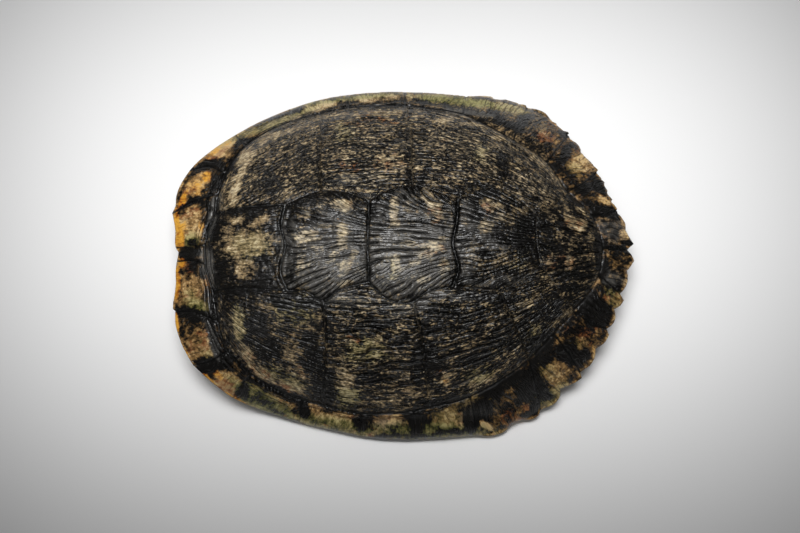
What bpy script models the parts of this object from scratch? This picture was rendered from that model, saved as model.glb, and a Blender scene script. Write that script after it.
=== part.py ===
"""Carapace (domed upper shell) of an adult slider-type turtle, as one closed solid.

The head end points to -X, the tail to +X and the animal's right side to +Y. The shell rests on
the two flat bridge faces where the lower shell was cut away, and those faces lie at z = 0.
"""

import math

import bmesh
import bpy
import numpy as np
from mathutils import Vector
from mathutils.geometry import delaunay_2d_cdt

MM = 0.001

# Driving dimensions, in millimetres.
DOME_HEIGHT = 56.0  # top of the shell above the bridge faces
FRONT_RIM_HEIGHT = 26.0  # the edge over the neck
REAR_RIM_HEIGHT = 23.0  # the edge over the tail
BRIDGE_HALF_LENGTH = 47.0  # straight part of each side that lies at z = 0
RIM_RISE_LENGTH = 62.0  # from the bridge's end to where the edge is at its full height
BRIDGE_RUN_OUT = 12.0  # over which the edge leaves the flat of the bridge
SIDE_FULLNESS = 0.73  # exponent of the dome's section: lower is fuller
END_FULLNESS = 0.80
SIDE_CUT_OFF = 0.985  # share of the section's quarter round that is used
END_CUT_OFF = 0.960
RIM_FLARE_SLOPE = 0.35  # slope of the teeth that reach past the dome's own edge

BONE_THICKNESS = 3.4  # over the ribs
RIM_BONE_THICKNESS = 6.4  # where the ring of edge bones is thickest
RIM_EDGE_THICKNESS = 1.9
RIM_BONE_DISTANCE = 13.0  # from the edge in to the thickest line of the edge bones
RIM_BONE_SPREAD = 7.0
RIM_EDGE_REACH = 8.0  # from the edge in to where the bone has its body's thickness
STEEPEST_THICKENING = 2.2  # most that a slope adds to the bone's upright thickness
BRIDGE_FACE_WIDTH = 4.2
END_EDGE_INSET = 1.3  # how far the lower corner of the edge is set in at head and tail

SCUTE_CROWN = 0.9  # how far each scute's middle stands above its seams
SCUTE_CROWN_REACH = 6.0
TROUGH_DEPTH = 1.2  # shallow channel along the seam between costals and marginals
TROUGH_REACH = 5.0
KEEL_HEIGHT = 1.1  # low ridge over the rear vertebrals
KEEL_HALF_WIDTH = 7.0
KEEL_START = 20.0
KEEL_RUN_IN = 30.0

SPINE_FRONT = -84.0  # the backbone is fused to the underside between these two
SPINE_REAR = 88.0
SPINE_HALF_WIDTH = 3.5
SPINE_FOOT_HALF_WIDTH = 7.0
SPINE_DEPTH = 5.0
SPINE_RUN_OUT = 12.0  # over which each end of the backbone sinks into the shell
RIB_STATIONS = (-64.0, -46.0, -28.0, -10.0, 9.0, 28.0, 46.0, 62.0)
RIB_DEPTH = 1.4
RIB_HALF_WIDTH = 2.5
RIB_SWEEP = 0.12  # ribs lean away from the middle of the shell by this slope
RIB_END_SHARE = 0.80  # ribs run out to this share of the shell's half-width

TOP_SPACING = 3.9
UNDER_SPACING = 6.0
RIM_STEP = 3.9
SEAM_STEP = 3.7
SHOULDER_WIDTH = 2.3  # from a seam's bottom out to where its slopes end
CLEAR_OF_SEAM = 2.1
CLEAR_OF_RIM = 2.4
SMOOTHING_ANGLE = 7.0  # degrees over which the toothed edge is averaged for the dome
SHARP_ANGLE = 50.0
SLOPE_STEP = 0.5  # over which the dome's slope is measured
MERGE_DISTANCE = 0.02

# The edge seen from above, as lobes (x, y). A lobe is a smooth curve that starts at the last
# point of the lobe before it, so each change of lobe is a corner, a notch or the tip of a tooth.
RIM_LOBES = (
    # right side, from the notch over the neck to the tail
    ((-107.5, 2.5), (-108.5, 13.0), (-110.0, 20.5)),
    ((-108.5, 24.0), (-108.3, 28.0), (-102.0, 41.5), (-92.0, 52.0), (-81.0, 61.0),
     (-69.0, 70.0), (-55.5, 77.3), (-39.5, 82.4), (-21.0, 85.1), (0.0, 85.8), (20.0, 84.5),
     (31.5, 83.0)),
    ((38.5, 83.7), (48.5, 82.4), (61.0, 78.2)),
    ((61.4, 76.7),),
    ((67.0, 75.3), (70.2, 73.3), (72.5, 69.7)),
    ((76.2, 66.9), (81.2, 61.6)),
    ((80.2, 60.3),),
    ((84.0, 56.5), (87.0, 51.8), (87.6, 48.8)),
    ((90.6, 45.9), (94.2, 41.6)),
    ((93.2, 39.9),),
    ((96.0, 36.5), (98.1, 32.8), (98.0, 29.0)),
    ((100.3, 26.3), (102.5, 21.7)),
    ((102.0, 20.8),),
    ((104.7, 17.2), (106.5, 13.5), (106.2, 11.3)),
    ((108.2, 7.4), (110.0, 4.7)),
    ((106.6, 1.6),),
    # left side, from the tail back to the neck
    ((108.9, -0.9), (110.0, -3.5)),
    ((108.3, -6.2), (106.3, -8.5)),
    ((106.5, -13.4), (104.8, -17.2), (102.6, -19.7)),
    ((104.6, -22.5),),
    ((102.6, -25.3), (99.8, -27.0)),
    ((100.4, -31.0), (98.7, -34.2), (96.0, -36.2)),
    ((97.3, -38.9),),
    ((95.4, -42.1), (90.7, -45.6)),
    ((90.7, -48.5), (89.2, -51.7), (83.7, -56.1)),
    ((84.5, -58.6),),
    ((81.8, -60.3), (74.2, -63.6)),
    ((74.4, -66.5), (72.5, -69.3), (65.1, -72.7)),
    ((64.6, -74.6), (62.2, -76.4), (54.2, -77.5), (50.8, -79.4)),
    ((48.4, -81.8), (42.1, -84.1), (34.0, -84.0), (22.0, -84.8), (0.0, -85.8), (-16.5, -84.7),
     (-36.0, -80.7), (-59.5, -74.7), (-73.5, -70.3), (-81.2, -66.9), (-91.6, -59.4),
     (-99.3, -52.4)),
    ((-101.0, -49.6), (-105.5, -40.6), (-107.9, -31.1), (-107.8, -26.8)),
    ((-109.0, -25.9),),
    ((-109.0, -23.0),),
    ((-108.1, -17.7), (-107.7, -13.4), (-107.9, -8.0), (-106.5, 1.0)),
)

# The seams between the horn scutes, as (depth, points) with each point (x, y).
RING_SEAM = (
    (-93.5, 3.5), (-91.8, 11.0), (-88.8, 17.8), (-88.1, 24.3), (-87.3, 28.0), (-84.2, 38.2),
    (-75.5, 53.8), (-71.0, 58.0), (-54.5, 68.0), (-40.0, 72.1), (-26.4, 74.3), (1.3, 75.2),
    (13.5, 73.3), (29.5, 69.2), (39.7, 63.2), (53.0, 54.0), (68.5, 43.0), (78.0, 28.0),
    (89.5, 17.0), (94.0, 1.0), (92.0, -11.5), (79.6, -29.4), (70.0, -39.7), (58.5, -51.3),
    (45.0, -60.7), (30.9, -67.8), (12.1, -72.6), (4.5, -74.0), (-6.8, -75.0), (-20.5, -74.6),
    (-39.0, -70.5), (-48.0, -68.0), (-60.8, -63.3), (-71.5, -57.2), (-82.3, -47.0),
    (-87.0, -33.5), (-89.6, -18.7), (-93.1, -5.6), (-93.5, 3.5),
)
SEAMS = {
    "ring between costals and marginals": (0.9, RING_SEAM),
    "vertebral 1 right": (0.6, ((-88.8, 17.8), (-78.2, 19.4), (-55.0, 19.7))),
    "vertebral 1 left": (0.6, ((-89.6, -18.7), (-78.4, -18.6), (-53.7, -20.9))),
    "vertebral 1 to 2": (0.9, ((-55.0, 19.7), (-56.6, 9.7), (-54.7, 0.1), (-57.0, -12.0),
                               (-53.7, -20.9))),
    "vertebral 2 right": (0.8, ((-55.0, 19.7), (-47.9, 22.8), (-38.5, 26.0), (-26.9, 25.1),
                                (-15.7, 20.4))),
    "vertebral 2 left": (0.9, ((-53.7, -20.9), (-45.4, -21.7), (-37.1, -25.9), (-30.1, -21.6),
                               (-15.9, -17.8))),
    "vertebral 2 to 3": (0.9, ((-15.7, 20.4), (-16.4, 1.0), (-15.9, -17.8))),
    "vertebral 3 right": (0.8, ((-15.7, 20.4), (-8.3, 25.2), (4.2, 28.2), (14.9, 25.1),
                                (25.5, 21.2))),
    "vertebral 3 left": (0.9, ((-15.9, -17.8), (-8.6, -25.0), (4.3, -26.9), (9.8, -22.9),
                               (22.2, -20.1))),
    "vertebral 3 to 4": (1.6, ((25.5, 21.2), (24.8, 10.5), (22.8, 0.0), (25.3, -13.0),
                               (22.2, -20.1))),
    "vertebral 4 right": (0.6, ((25.5, 21.2), (33.5, 25.5), (46.2, 27.0), (54.5, 22.0),
                                (62.4, 14.4))),
    "vertebral 4 left": (0.6, ((22.2, -20.1), (33.0, -20.7), (44.4, -21.5), (55.0, -15.5),
                               (63.8, -8.9))),
    "vertebral 4 to 5": (0.5, ((62.4, 14.4), (62.0, 1.0), (63.8, -8.9))),
    "vertebral 5 right": (0.5, ((62.4, 14.4), (71.0, 20.3), (78.0, 28.0))),
    "vertebral 5 left": (0.5, ((63.8, -8.9), (71.0, -18.2), (79.6, -29.4))),
    "costal 1 to 2 right": (0.7, ((-38.5, 26.0), (-38.6, 48.0), (-40.0, 72.1))),
    "costal 2 to 3 right": (0.7, ((4.2, 28.2), (4.5, 52.0), (1.3, 75.2))),
    "costal 3 to 4 right": (0.6, ((46.2, 27.0), (49.5, 40.5), (53.0, 54.0))),
    "costal 1 to 2 left": (0.7, ((-37.1, -25.9), (-36.3, -50.0), (-39.0, -70.5))),
    "costal 2 to 3 left": (0.7, ((4.3, -26.9), (7.2, -38.0), (10.0, -57.0), (12.1, -72.6))),
    "costal 3 to 4 left": (0.6, ((44.4, -21.5), (50.5, -36.0), (58.5, -51.3))),
    "nuchal right": (0.7, ((-107.6, 3.5), (-100.7, 2.9), (-93.5, 3.5))),
    "nuchal left": (0.7, ((-107.6, -3.0), (-100.6, -3.5), (-93.1, -5.6))),
    "marginal 1 to 2 right": (0.8, ((-110.0, 20.5), (-103.6, 23.7), (-87.3, 28.0))),
    "marginal 2 to 3 right": (0.8, ((-102.0, 41.5), (-94.5, 42.9), (-84.2, 38.2))),
    "marginal 3 to 4 right": (0.8, ((-81.0, 61.0), (-78.0, 57.0), (-75.5, 53.8))),
    "marginal 4 to 5 right": (0.8, ((-55.5, 77.3), (-54.5, 68.0))),
    "marginal 5 to 6 right": (0.8, ((-27.0, 84.4), (-26.4, 74.3))),
    "marginal 6 to 7 right": (0.8, ((1.5, 85.8), (1.3, 75.2))),
    "marginal 7 to 8 right": (0.8, ((31.5, 83.0), (29.5, 69.2))),
    "marginal 8 to 9 right": (0.8, ((61.4, 76.7), (57.5, 67.0), (53.0, 54.0))),
    "marginal 9 to 10 right": (0.8, ((80.2, 60.3), (75.0, 52.0), (68.5, 43.0))),
    "marginal 10 to 11 right": (0.8, ((93.2, 39.9), (87.0, 34.0), (78.0, 28.0))),
    "marginal 11 to 12 right": (0.8, ((102.0, 20.8), (96.0, 18.3), (89.5, 17.0))),
    "tail": (0.8, ((106.6, 1.6), (100.3, 1.1), (94.0, 1.0))),
    "marginal 11 to 12 left": (0.8, ((102.6, -19.7), (97.0, -15.3), (92.0, -11.5))),
    "marginal 10 to 11 left": (0.8, ((96.0, -36.2), (88.0, -33.8), (79.6, -29.4))),
    "marginal 9 to 10 left": (0.8, ((83.7, -56.1), (76.5, -47.0), (70.0, -39.7))),
    "marginal 8 to 9 left": (0.8, ((65.1, -72.7), (62.0, -62.5), (58.5, -51.3))),
    "marginal 7 to 8 left": (0.8, ((34.0, -84.0), (33.0, -76.0), (30.9, -67.8))),
    "marginal 6 to 7 left": (0.8, ((4.8, -85.7), (4.5, -74.0))),
    "marginal 5 to 6 left": (0.8, ((-21.0, -83.9), (-20.5, -74.6))),
    "marginal 4 to 5 left": (0.8, ((-50.2, -77.2), (-48.0, -68.0))),
    "marginal 3 to 4 left": (0.8, ((-81.2, -66.9), (-77.0, -61.5), (-71.5, -57.2))),
    "marginal 2 to 3 left": (0.8, ((-99.3, -52.4), (-92.0, -51.0), (-82.3, -47.0))),
    "marginal 1 to 2 left": (0.8, ((-107.8, -26.8), (-100.0, -27.8), (-87.0, -33.5))),
}

HORN_COLOUR = (0.045, 0.036, 0.026, 1.0)
HORN_ROUGHNESS = 0.42
BONE_COLOUR = (0.62, 0.53, 0.38, 1.0)
BONE_ROUGHNESS = 0.75


def smooth_step(t):
    """0 below 0, 1 above 1 and an S between them."""
    t = np.clip(t, 0.0, 1.0)
    return t * t * (3.0 - 2.0 * t)


def smooth_path(points, step):
    """A smooth curve through the points, sampled about every step, that keeps the points."""
    points = np.array(points, float)
    if len(points) < 2:
        return points
    chord = np.maximum(np.linalg.norm(np.diff(points, axis=0), axis=1), 1e-6)
    slope = np.diff(points, axis=0) / chord[:, None]
    tangent = np.vstack([slope[:1], slope[-1:]])
    if len(points) > 2:
        inner = slope[:-1] * chord[1:, None] + slope[1:] * chord[:-1, None]
        inner /= (chord[:-1] + chord[1:])[:, None]
        tangent = np.vstack([slope[:1], inner, slope[-1:]])
    path = [points[0]]
    for i, length in enumerate(chord):
        count = max(1, round(length / step))
        for t in np.arange(1, count + 1) / count:
            h00 = 2 * t**3 - 3 * t**2 + 1
            h10 = t**3 - 2 * t**2 + t
            h01 = 3 * t**2 - 2 * t**3
            h11 = t**3 - t**2
            path.append(
                h00 * points[i] + h01 * points[i + 1]
                + length * (h10 * tangent[i] + h11 * tangent[i + 1])
            )
    return np.array(path)


def rim_outline(step):
    """The toothed edge as a closed ring of points, without the repeat of the first."""
    ring = []
    start = RIM_LOBES[-1][-1]
    for lobe in RIM_LOBES:
        ring.extend(smooth_path((start,) + lobe, step)[1:])
        start = lobe[-1]
    return np.array(ring)


def polar(points):
    return np.arctan2(points[:, 1], points[:, 0]), np.hypot(points[:, 0], points[:, 1])


def dome_edge():
    """Radius of the dome's own edge against the angle: the rim with its teeth averaged out."""
    angles = np.linspace(-math.pi, math.pi, 720, endpoint=False)
    rim_angle, rim_radius = polar(rim_outline(0.5))
    order = np.argsort(rim_angle)
    radius = np.interp(angles, rim_angle[order], rim_radius[order], period=2 * math.pi)
    turn = np.degrees(angles + math.pi)
    weight = np.exp(-0.5 * (np.minimum(turn, 360.0 - turn) / SMOOTHING_ANGLE) ** 2)
    spectrum = np.fft.fft(radius) * np.fft.fft(weight / weight.sum())
    return angles, np.real(np.fft.ifft(spectrum))


EDGE_ANGLES, EDGE_RADII = dome_edge()


def edge_share(x, y):
    """(share of the way from the middle to the dome's edge, x of that edge, its radius)."""
    angle = np.arctan2(y, x)
    radius = np.interp(angle, EDGE_ANGLES, EDGE_RADII, period=2 * math.pi)
    return np.hypot(x, y) / radius, radius * np.cos(angle), radius


def end_share(x):
    """0 along the bridge and 1 at the head and tail ends."""
    return smooth_step((np.abs(x) - BRIDGE_HALF_LENGTH) / RIM_RISE_LENGTH)


def dome(x, y):
    """Height of the plain dome, with no seams on it."""
    share, edge_x, radius = edge_share(x, y)
    end = end_share(edge_x)
    crest = DOME_HEIGHT - SCUTE_CROWN
    rim = np.where(edge_x < 0, FRONT_RIM_HEIGHT, REAR_RIM_HEIGHT) * end
    power = SIDE_FULLNESS + (END_FULLNESS - SIDE_FULLNESS) * end
    cut = SIDE_CUT_OFF + (END_CUT_OFF - SIDE_CUT_OFF) * end
    lowest = (1.0 - cut**2) ** power
    round_off = (1.0 - (cut * np.minimum(share, 1.0)) ** 2) ** power
    rise = (round_off - lowest) / (1.0 - lowest)
    past_edge = np.maximum(share - 1.0, 0.0) * radius
    return rim + (crest - rim) * rise - RIM_FLARE_SLOPE * past_edge * end


def distance_to_path(x, y, path):
    """Distance from each place to the nearest point of a path."""
    place = np.stack([x, y], axis=-1)[:, None]
    start = path[None, :-1]
    along = (path[1:] - path[:-1])[None]
    length = np.maximum((along**2).sum(-1), 1e-9)
    t = np.clip(((place - start) * along).sum(-1) / length, 0.0, 1.0)
    return np.linalg.norm(place - start - t[..., None] * along, axis=-1).min(1)


def outer_height(x, y):
    """Height of the horn surface: dome, keel, trough, crowned scutes and seams."""
    height = dome(x, y)
    keel = np.exp(-((y / KEEL_HALF_WIDTH) ** 2)) * smooth_step((x - KEEL_START) / KEEL_RUN_IN)
    height += KEEL_HEIGHT * keel
    ring = distance_to_path(x, y, smooth_path(RING_SEAM, SEAM_STEP))
    height -= TROUGH_DEPTH * np.exp(-((ring / TROUGH_REACH) ** 2))
    nearest = np.full(len(x), 1e3)
    groove = np.zeros(len(x))
    for depth, points in SEAMS.values():
        away = distance_to_path(x, y, smooth_path(points, SEAM_STEP))
        nearest = np.minimum(nearest, away)
        groove = np.maximum(groove, depth * np.exp(-((2.0 * away / SHOULDER_WIDTH) ** 2)))
    return height - groove + SCUTE_CROWN * (1.0 - np.exp(-((nearest / SCUTE_CROWN_REACH) ** 2)))


def bone_thickness(from_rim, end):
    """Thickness square to the surface, from the thin edge over the thick edge bones inwards."""
    bulge = np.exp(-(((from_rim - RIM_BONE_DISTANCE) / RIM_BONE_SPREAD) ** 2))
    body = BONE_THICKNESS + (RIM_BONE_THICKNESS - BONE_THICKNESS) * bulge * end
    return RIM_EDGE_THICKNESS + (body - RIM_EDGE_THICKNESS) * smooth_step(from_rim / RIM_EDGE_REACH)


def rib_path(station, side):
    """One rib on the underside, from the backbone out to the edge bones."""
    _, _, reach = edge_share(np.array([station]), np.array([side * 70.0]))
    far = RIB_END_SHARE * math.sqrt(max(float(reach[0]) ** 2 - station**2, 0.0))
    lean = math.copysign(RIB_SWEEP, station)
    near = SPINE_FOOT_HALF_WIDTH
    return smooth_path(
        ((station, side * near), (station + lean * (far - near), side * far)), UNDER_SPACING
    )


def rib_paths():
    return [rib_path(station, side) for station in RIB_STATIONS for side in (1, -1)]


def spine_paths():
    """The backbone's crest, its two upper edges and its two feet."""
    offsets = (0.0, SPINE_HALF_WIDTH, -SPINE_HALF_WIDTH, SPINE_FOOT_HALF_WIDTH,
               -SPINE_FOOT_HALF_WIDTH)
    return [smooth_path(((SPINE_FRONT, y), (SPINE_REAR, y)), UNDER_SPACING) for y in offsets]


def under_height(x, y, rim):
    """Height of the bony underside, with the backbone and the ribs standing down from it."""
    slope_x = (dome(x + SLOPE_STEP, y) - dome(x - SLOPE_STEP, y)) / (2 * SLOPE_STEP)
    slope_y = (dome(x, y + SLOPE_STEP) - dome(x, y - SLOPE_STEP)) / (2 * SLOPE_STEP)
    upright = np.sqrt(1.0 + slope_x**2 + slope_y**2)
    _, edge_x, _ = edge_share(x, y)
    closed_rim = np.vstack([rim, rim[:1]])
    from_rim = distance_to_path(x, y, closed_rim)
    thickness = bone_thickness(from_rim, end_share(edge_x))
    height = dome(x, y) - thickness * np.minimum(upright, STEEPEST_THICKENING)
    from_front = smooth_step((x - SPINE_FRONT) / SPINE_RUN_OUT)
    from_rear = smooth_step((SPINE_REAR - x) / SPINE_RUN_OUT)
    flank = (SPINE_FOOT_HALF_WIDTH - np.abs(y)) / (SPINE_FOOT_HALF_WIDTH - SPINE_HALF_WIDTH)
    height -= SPINE_DEPTH * from_front * from_rear * smooth_step(flank)
    for path in rib_paths():
        away = distance_to_path(x, y, path)
        height -= RIB_DEPTH * np.exp(-((away / RIB_HALF_WIDTH) ** 2))
    return np.maximum(height, 0.0)


def snapped(path, rim):
    """The path with an end that meets the rim put on the nearest of the rim's own points."""
    for end in (0, -1):
        away = np.linalg.norm(rim - path[end], axis=1)
        if away.min() < RIM_STEP:
            path[end] = rim[away.argmin()]
    return path


def clear_points(points, rim, lines, off_rim, off_lines):
    """Those of the points that lie inside the rim, clear of it and of the lines."""
    angle, radius = polar(points)
    rim_angle, rim_radius = polar(rim)
    order = np.argsort(rim_angle)
    limit = np.interp(angle, rim_angle[order], rim_radius[order], period=2 * math.pi)
    points = points[radius < limit]
    keep = distance_to_path(*points.T, np.vstack([rim, rim[:1]])) > off_rim
    for line in lines:
        keep &= distance_to_path(*points.T, line) > off_lines
    return points[keep]


def shoulders(lines, width):
    """Points beside each line at the given distance, thinned where two lines meet."""
    sides = []
    for line in lines:
        along = np.gradient(line, axis=0)
        along /= np.linalg.norm(along, axis=1)[:, None]
        across = np.stack([-along[:, 1], along[:, 0]], axis=1)
        sides += [line + width * across, line - width * across]
    kept = []
    for point in np.vstack(sides):
        if not kept or np.linalg.norm(np.array(kept) - point, axis=1).min() > 0.6 * width:
            kept.append(point)
    return np.array(kept)


def lattice(rim, spacing):
    """Staggered rows of points over the whole rim's box."""
    row_gap = spacing * math.sqrt(0.75)
    reach = np.abs(rim).max(0)
    rows = np.arange(-math.ceil(reach[1] / row_gap), math.ceil(reach[1] / row_gap) + 1)
    columns = np.arange(-math.ceil(reach[0] / spacing), math.ceil(reach[0] / spacing) + 1)
    row, column = np.meshgrid(rows, columns, indexing="ij")
    x = ((column + 0.5 * (row % 2)) * spacing).ravel()
    y = (row * row_gap).ravel()
    return np.stack([x, y], axis=1)


def triangulate(rim, lines, loose_points):
    """Plan triangles that fill the rim and keep its edges and the lines' edges."""
    points = [tuple(p) for p in rim]
    count = len(points)
    edges = [(i, (i + 1) % count) for i in range(count)]
    for line in lines:
        first = len(points)
        points.extend(tuple(p) for p in line)
        edges.extend((i, i + 1) for i in range(first, len(points) - 1))
    points.extend(tuple(p) for p in loose_points)
    flat = [Vector(p) for p in points]
    outline = [list(range(count))]
    placed, _, faces, _, _, _ = delaunay_2d_cdt(flat, edges, outline, 1, MERGE_DISTANCE)
    return np.array([tuple(p) for p in placed]), faces


def add_sheet(body, plan, faces, height, face_up, material_index):
    """Adds a sheet of triangles at the given heights and returns the edges of its border."""
    corners = [body.verts.new((x * MM, y * MM, z * MM)) for (x, y), z in zip(plan, height)]
    made = []
    for face in faces:
        turn = face if face_up else reversed(face)
        made.append(body.faces.new([corners[i] for i in turn]))
        made[-1].material_index = material_index
    return [edge for edge in body.edges if edge.is_boundary and edge.link_faces[0] in set(made)]


def material(name, colour, roughness):
    finish = bpy.data.materials.new(name)
    finish.use_nodes = True
    shader = finish.node_tree.nodes["Principled BSDF"]
    shader.inputs["Base Color"].default_value = colour
    shader.inputs["Roughness"].default_value = roughness
    shader.inputs["Metallic"].default_value = 0.0
    return finish


def rim_heights(rim):
    """Height of the horn surface at the edge, and of the lower corner of the edge."""
    top = np.maximum(dome(rim[:, 0], rim[:, 1]), 0.0)
    top *= smooth_step((np.abs(rim[:, 0]) - BRIDGE_HALF_LENGTH) / BRIDGE_RUN_OUT)
    return top, np.maximum(top - RIM_EDGE_THICKNESS, 0.0)


def build_carapace():
    """The horn sheet above, the bone sheet below and the edge that joins them."""
    rim = rim_outline(RIM_STEP)
    seams = [snapped(smooth_path(points, SEAM_STEP), rim) for _, points in SEAMS.values()]
    beside = clear_points(shoulders(seams, SHOULDER_WIDTH), rim, seams, CLEAR_OF_RIM,
                          CLEAR_OF_SEAM)
    between = clear_points(lattice(rim, TOP_SPACING), rim, seams, CLEAR_OF_RIM,
                           SHOULDER_WIDTH + CLEAR_OF_SEAM)
    top_plan, top_faces = triangulate(rim, seams, np.vstack([beside, between]))

    leave = smooth_step((np.abs(rim[:, 0]) - BRIDGE_HALF_LENGTH) / BRIDGE_RUN_OUT)
    inset = BRIDGE_FACE_WIDTH + (END_EDGE_INSET - BRIDGE_FACE_WIDTH) * leave
    under_rim = rim * (1.0 - inset / np.hypot(rim[:, 0], rim[:, 1]))[:, None]
    folds = spine_paths() + rib_paths()
    under_points = clear_points(lattice(under_rim, UNDER_SPACING), under_rim, folds,
                                CLEAR_OF_RIM, UNDER_SPACING / 2)
    under_plan, under_faces = triangulate(under_rim, folds, under_points)

    top_height = outer_height(top_plan[:, 0], top_plan[:, 1])
    under_heights = under_height(under_plan[:, 0], under_plan[:, 1], rim)
    edge_top, edge_under = rim_heights(rim)
    top_height[: len(rim)] = edge_top
    under_heights[: len(rim)] = edge_under

    body = bmesh.new()
    upper = add_sheet(body, top_plan, top_faces, top_height, True, 0)
    lower = add_sheet(body, under_plan, under_faces, under_heights, False, 1)
    edge_faces = bmesh.ops.bridge_loops(body, edges=upper + lower)["faces"]
    bmesh.ops.triangulate(body, faces=edge_faces)
    bmesh.ops.recalc_face_normals(body, faces=body.faces)
    mesh = bpy.data.meshes.new("carapace")
    body.to_mesh(mesh)
    body.free()
    mesh.materials.append(material("scute horn", HORN_COLOUR, HORN_ROUGHNESS))
    mesh.materials.append(material("shell bone", BONE_COLOUR, BONE_ROUGHNESS))
    mesh.shade_smooth()
    mesh.set_sharp_from_angle(angle=math.radians(SHARP_ANGLE))
    return bpy.data.objects.new("carapace", mesh)


def main():
    for old in list(bpy.data.objects):
        bpy.data.objects.remove(old, do_unlink=True)
    collection = bpy.data.collections.new("turtle shell")
    bpy.context.scene.collection.children.link(collection)
    collection.objects.link(build_carapace())


main()
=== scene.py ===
"""Upper shell of a freshwater turtle with its horn scutes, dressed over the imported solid.

All plan measures are in millimetres in the solid's own frame: the head end points to -X, the tail
to +X, and the shell lies on its two cut bridge faces at z = 0. Marks on the horn are placed as the
camera sees them, in a picture 800 wide and 533 high, and are laid on the shell from there.
"""

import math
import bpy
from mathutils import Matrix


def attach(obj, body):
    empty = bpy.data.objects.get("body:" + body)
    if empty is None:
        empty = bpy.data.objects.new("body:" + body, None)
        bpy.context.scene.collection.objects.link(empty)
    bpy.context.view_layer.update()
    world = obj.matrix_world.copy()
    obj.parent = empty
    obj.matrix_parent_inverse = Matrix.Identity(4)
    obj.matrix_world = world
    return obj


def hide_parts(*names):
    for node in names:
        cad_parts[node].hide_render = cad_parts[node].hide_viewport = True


bl_info = {
    "name": "Turtle shell",
    "version": (1, 0, 0),
    "blender": (4, 5, 0),
    "location": "3D View > Sidebar > Turtle shell",
    "description": "Builds a turtle's upper shell with wrinkled horn scutes on a pale table",
    "category": "Object",
}

import bpy
import numpy as np
from bpy.props import FloatProperty, FloatVectorProperty, PointerProperty
from mathutils import Matrix, Vector
from mathutils.geometry import delaunay_2d_cdt
from mathutils.kdtree import KDTree

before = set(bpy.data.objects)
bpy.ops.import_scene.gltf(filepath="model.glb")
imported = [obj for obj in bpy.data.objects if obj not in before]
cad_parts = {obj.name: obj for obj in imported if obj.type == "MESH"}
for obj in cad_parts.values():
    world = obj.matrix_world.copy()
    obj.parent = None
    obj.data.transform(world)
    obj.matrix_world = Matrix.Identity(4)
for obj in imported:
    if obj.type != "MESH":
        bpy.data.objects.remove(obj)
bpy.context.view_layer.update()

MM = 0.001

# The camera, from which the marks on the horn are laid on the shell.
PICTURE_WIDTH = 800
PICTURE_MIDDLE = (400.0, 266.5)
CAMERA_LENS = 85.0
CAMERA_SENSOR = 36.0
FOCAL = CAMERA_LENS / CAMERA_SENSOR * PICTURE_WIDTH
CAMERA_DISTANCE = 922.0
CAMERA_AIM = (-1.6, -1.63)
CAMERA_ELEVATION = math.radians(80.0)
CAMERA_ROLL = math.radians(0.38)
# Plan shift for each measure of height that leaves a point where the camera sees it.
LIFT_SHIFT = 1.0 / math.tan(CAMERA_ELEVATION)

# The dome, as in the solid.
DOME_HEIGHT = 56.0
FRONT_RIM_HEIGHT = 26.0
REAR_RIM_HEIGHT = 23.0
BRIDGE_HALF_LENGTH = 47.0
RIM_RISE_LENGTH = 62.0
BRIDGE_RUN_OUT = 12.0
SIDE_FULLNESS = 0.73
END_FULLNESS = 0.80
SIDE_CUT_OFF = 0.985
END_CUT_OFF = 0.960
RIM_FLARE_SLOPE = 0.35
BONE_THICKNESS = 3.4
RIM_BONE_THICKNESS = 6.4
RIM_EDGE_THICKNESS = 1.9
RIM_BONE_DISTANCE = 13.0
RIM_BONE_SPREAD = 7.0
RIM_EDGE_REACH = 8.0
STEEPEST_THICKENING = 2.2
BRIDGE_FACE_WIDTH = 4.2
END_EDGE_INSET = 1.3
SCUTE_CROWN = 0.9
SCUTE_CROWN_REACH = 6.0
TROUGH_DEPTH = 1.2
TROUGH_REACH = 5.0
KEEL_HEIGHT = 1.1
KEEL_HALF_WIDTH = 7.0
KEEL_START = 20.0
KEEL_RUN_IN = 30.0
SPINE_FRONT = -84.0
SPINE_REAR = 88.0
SPINE_HALF_WIDTH = 3.5
SPINE_FOOT_HALF_WIDTH = 7.0
SPINE_DEPTH = 5.0
SPINE_RUN_OUT = 12.0
RIB_STATIONS = (-64.0, -46.0, -28.0, -10.0, 9.0, 28.0, 46.0, 62.0)
RIB_DEPTH = 1.4
RIB_HALF_WIDTH = 2.5
RIB_SWEEP = 0.12
RIB_END_SHARE = 0.80
SMOOTHING_ANGLE = 7.0
SLOPE_STEP = 0.5

# Height of the rounded edge of the horn over the bridge, and how far in it lifts the surface.
BRIDGE_EDGE_HEIGHT = 4.0
BRIDGE_EDGE_REACH = 9.0
# Share of the solid's crown that each scute keeps under its folds and swell.
CROWN_LEFT = 0.4
# The backbone's waists between the ribs, the joints between the bones of the underside, and the
# grain of the bone.
RIB_SPACING = 18.2
SPINE_WAIST = 0.75
SPINE_SAG = 0.4
BONE_RING_WIDTH = 17.0
BONE_PAST_BRIDGE = 8.0
LAST_JOINT = 72.0
JOINT_DEPTH = 0.25
JOINT_HALF_WIDTH = 0.5
JOINT_TEETH = 1.1
RING_JOINT_WAVE = 0.9
BONE_GRAIN_LENGTH = 2.5
BONE_GRAIN_DEPTH = 0.15

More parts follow.
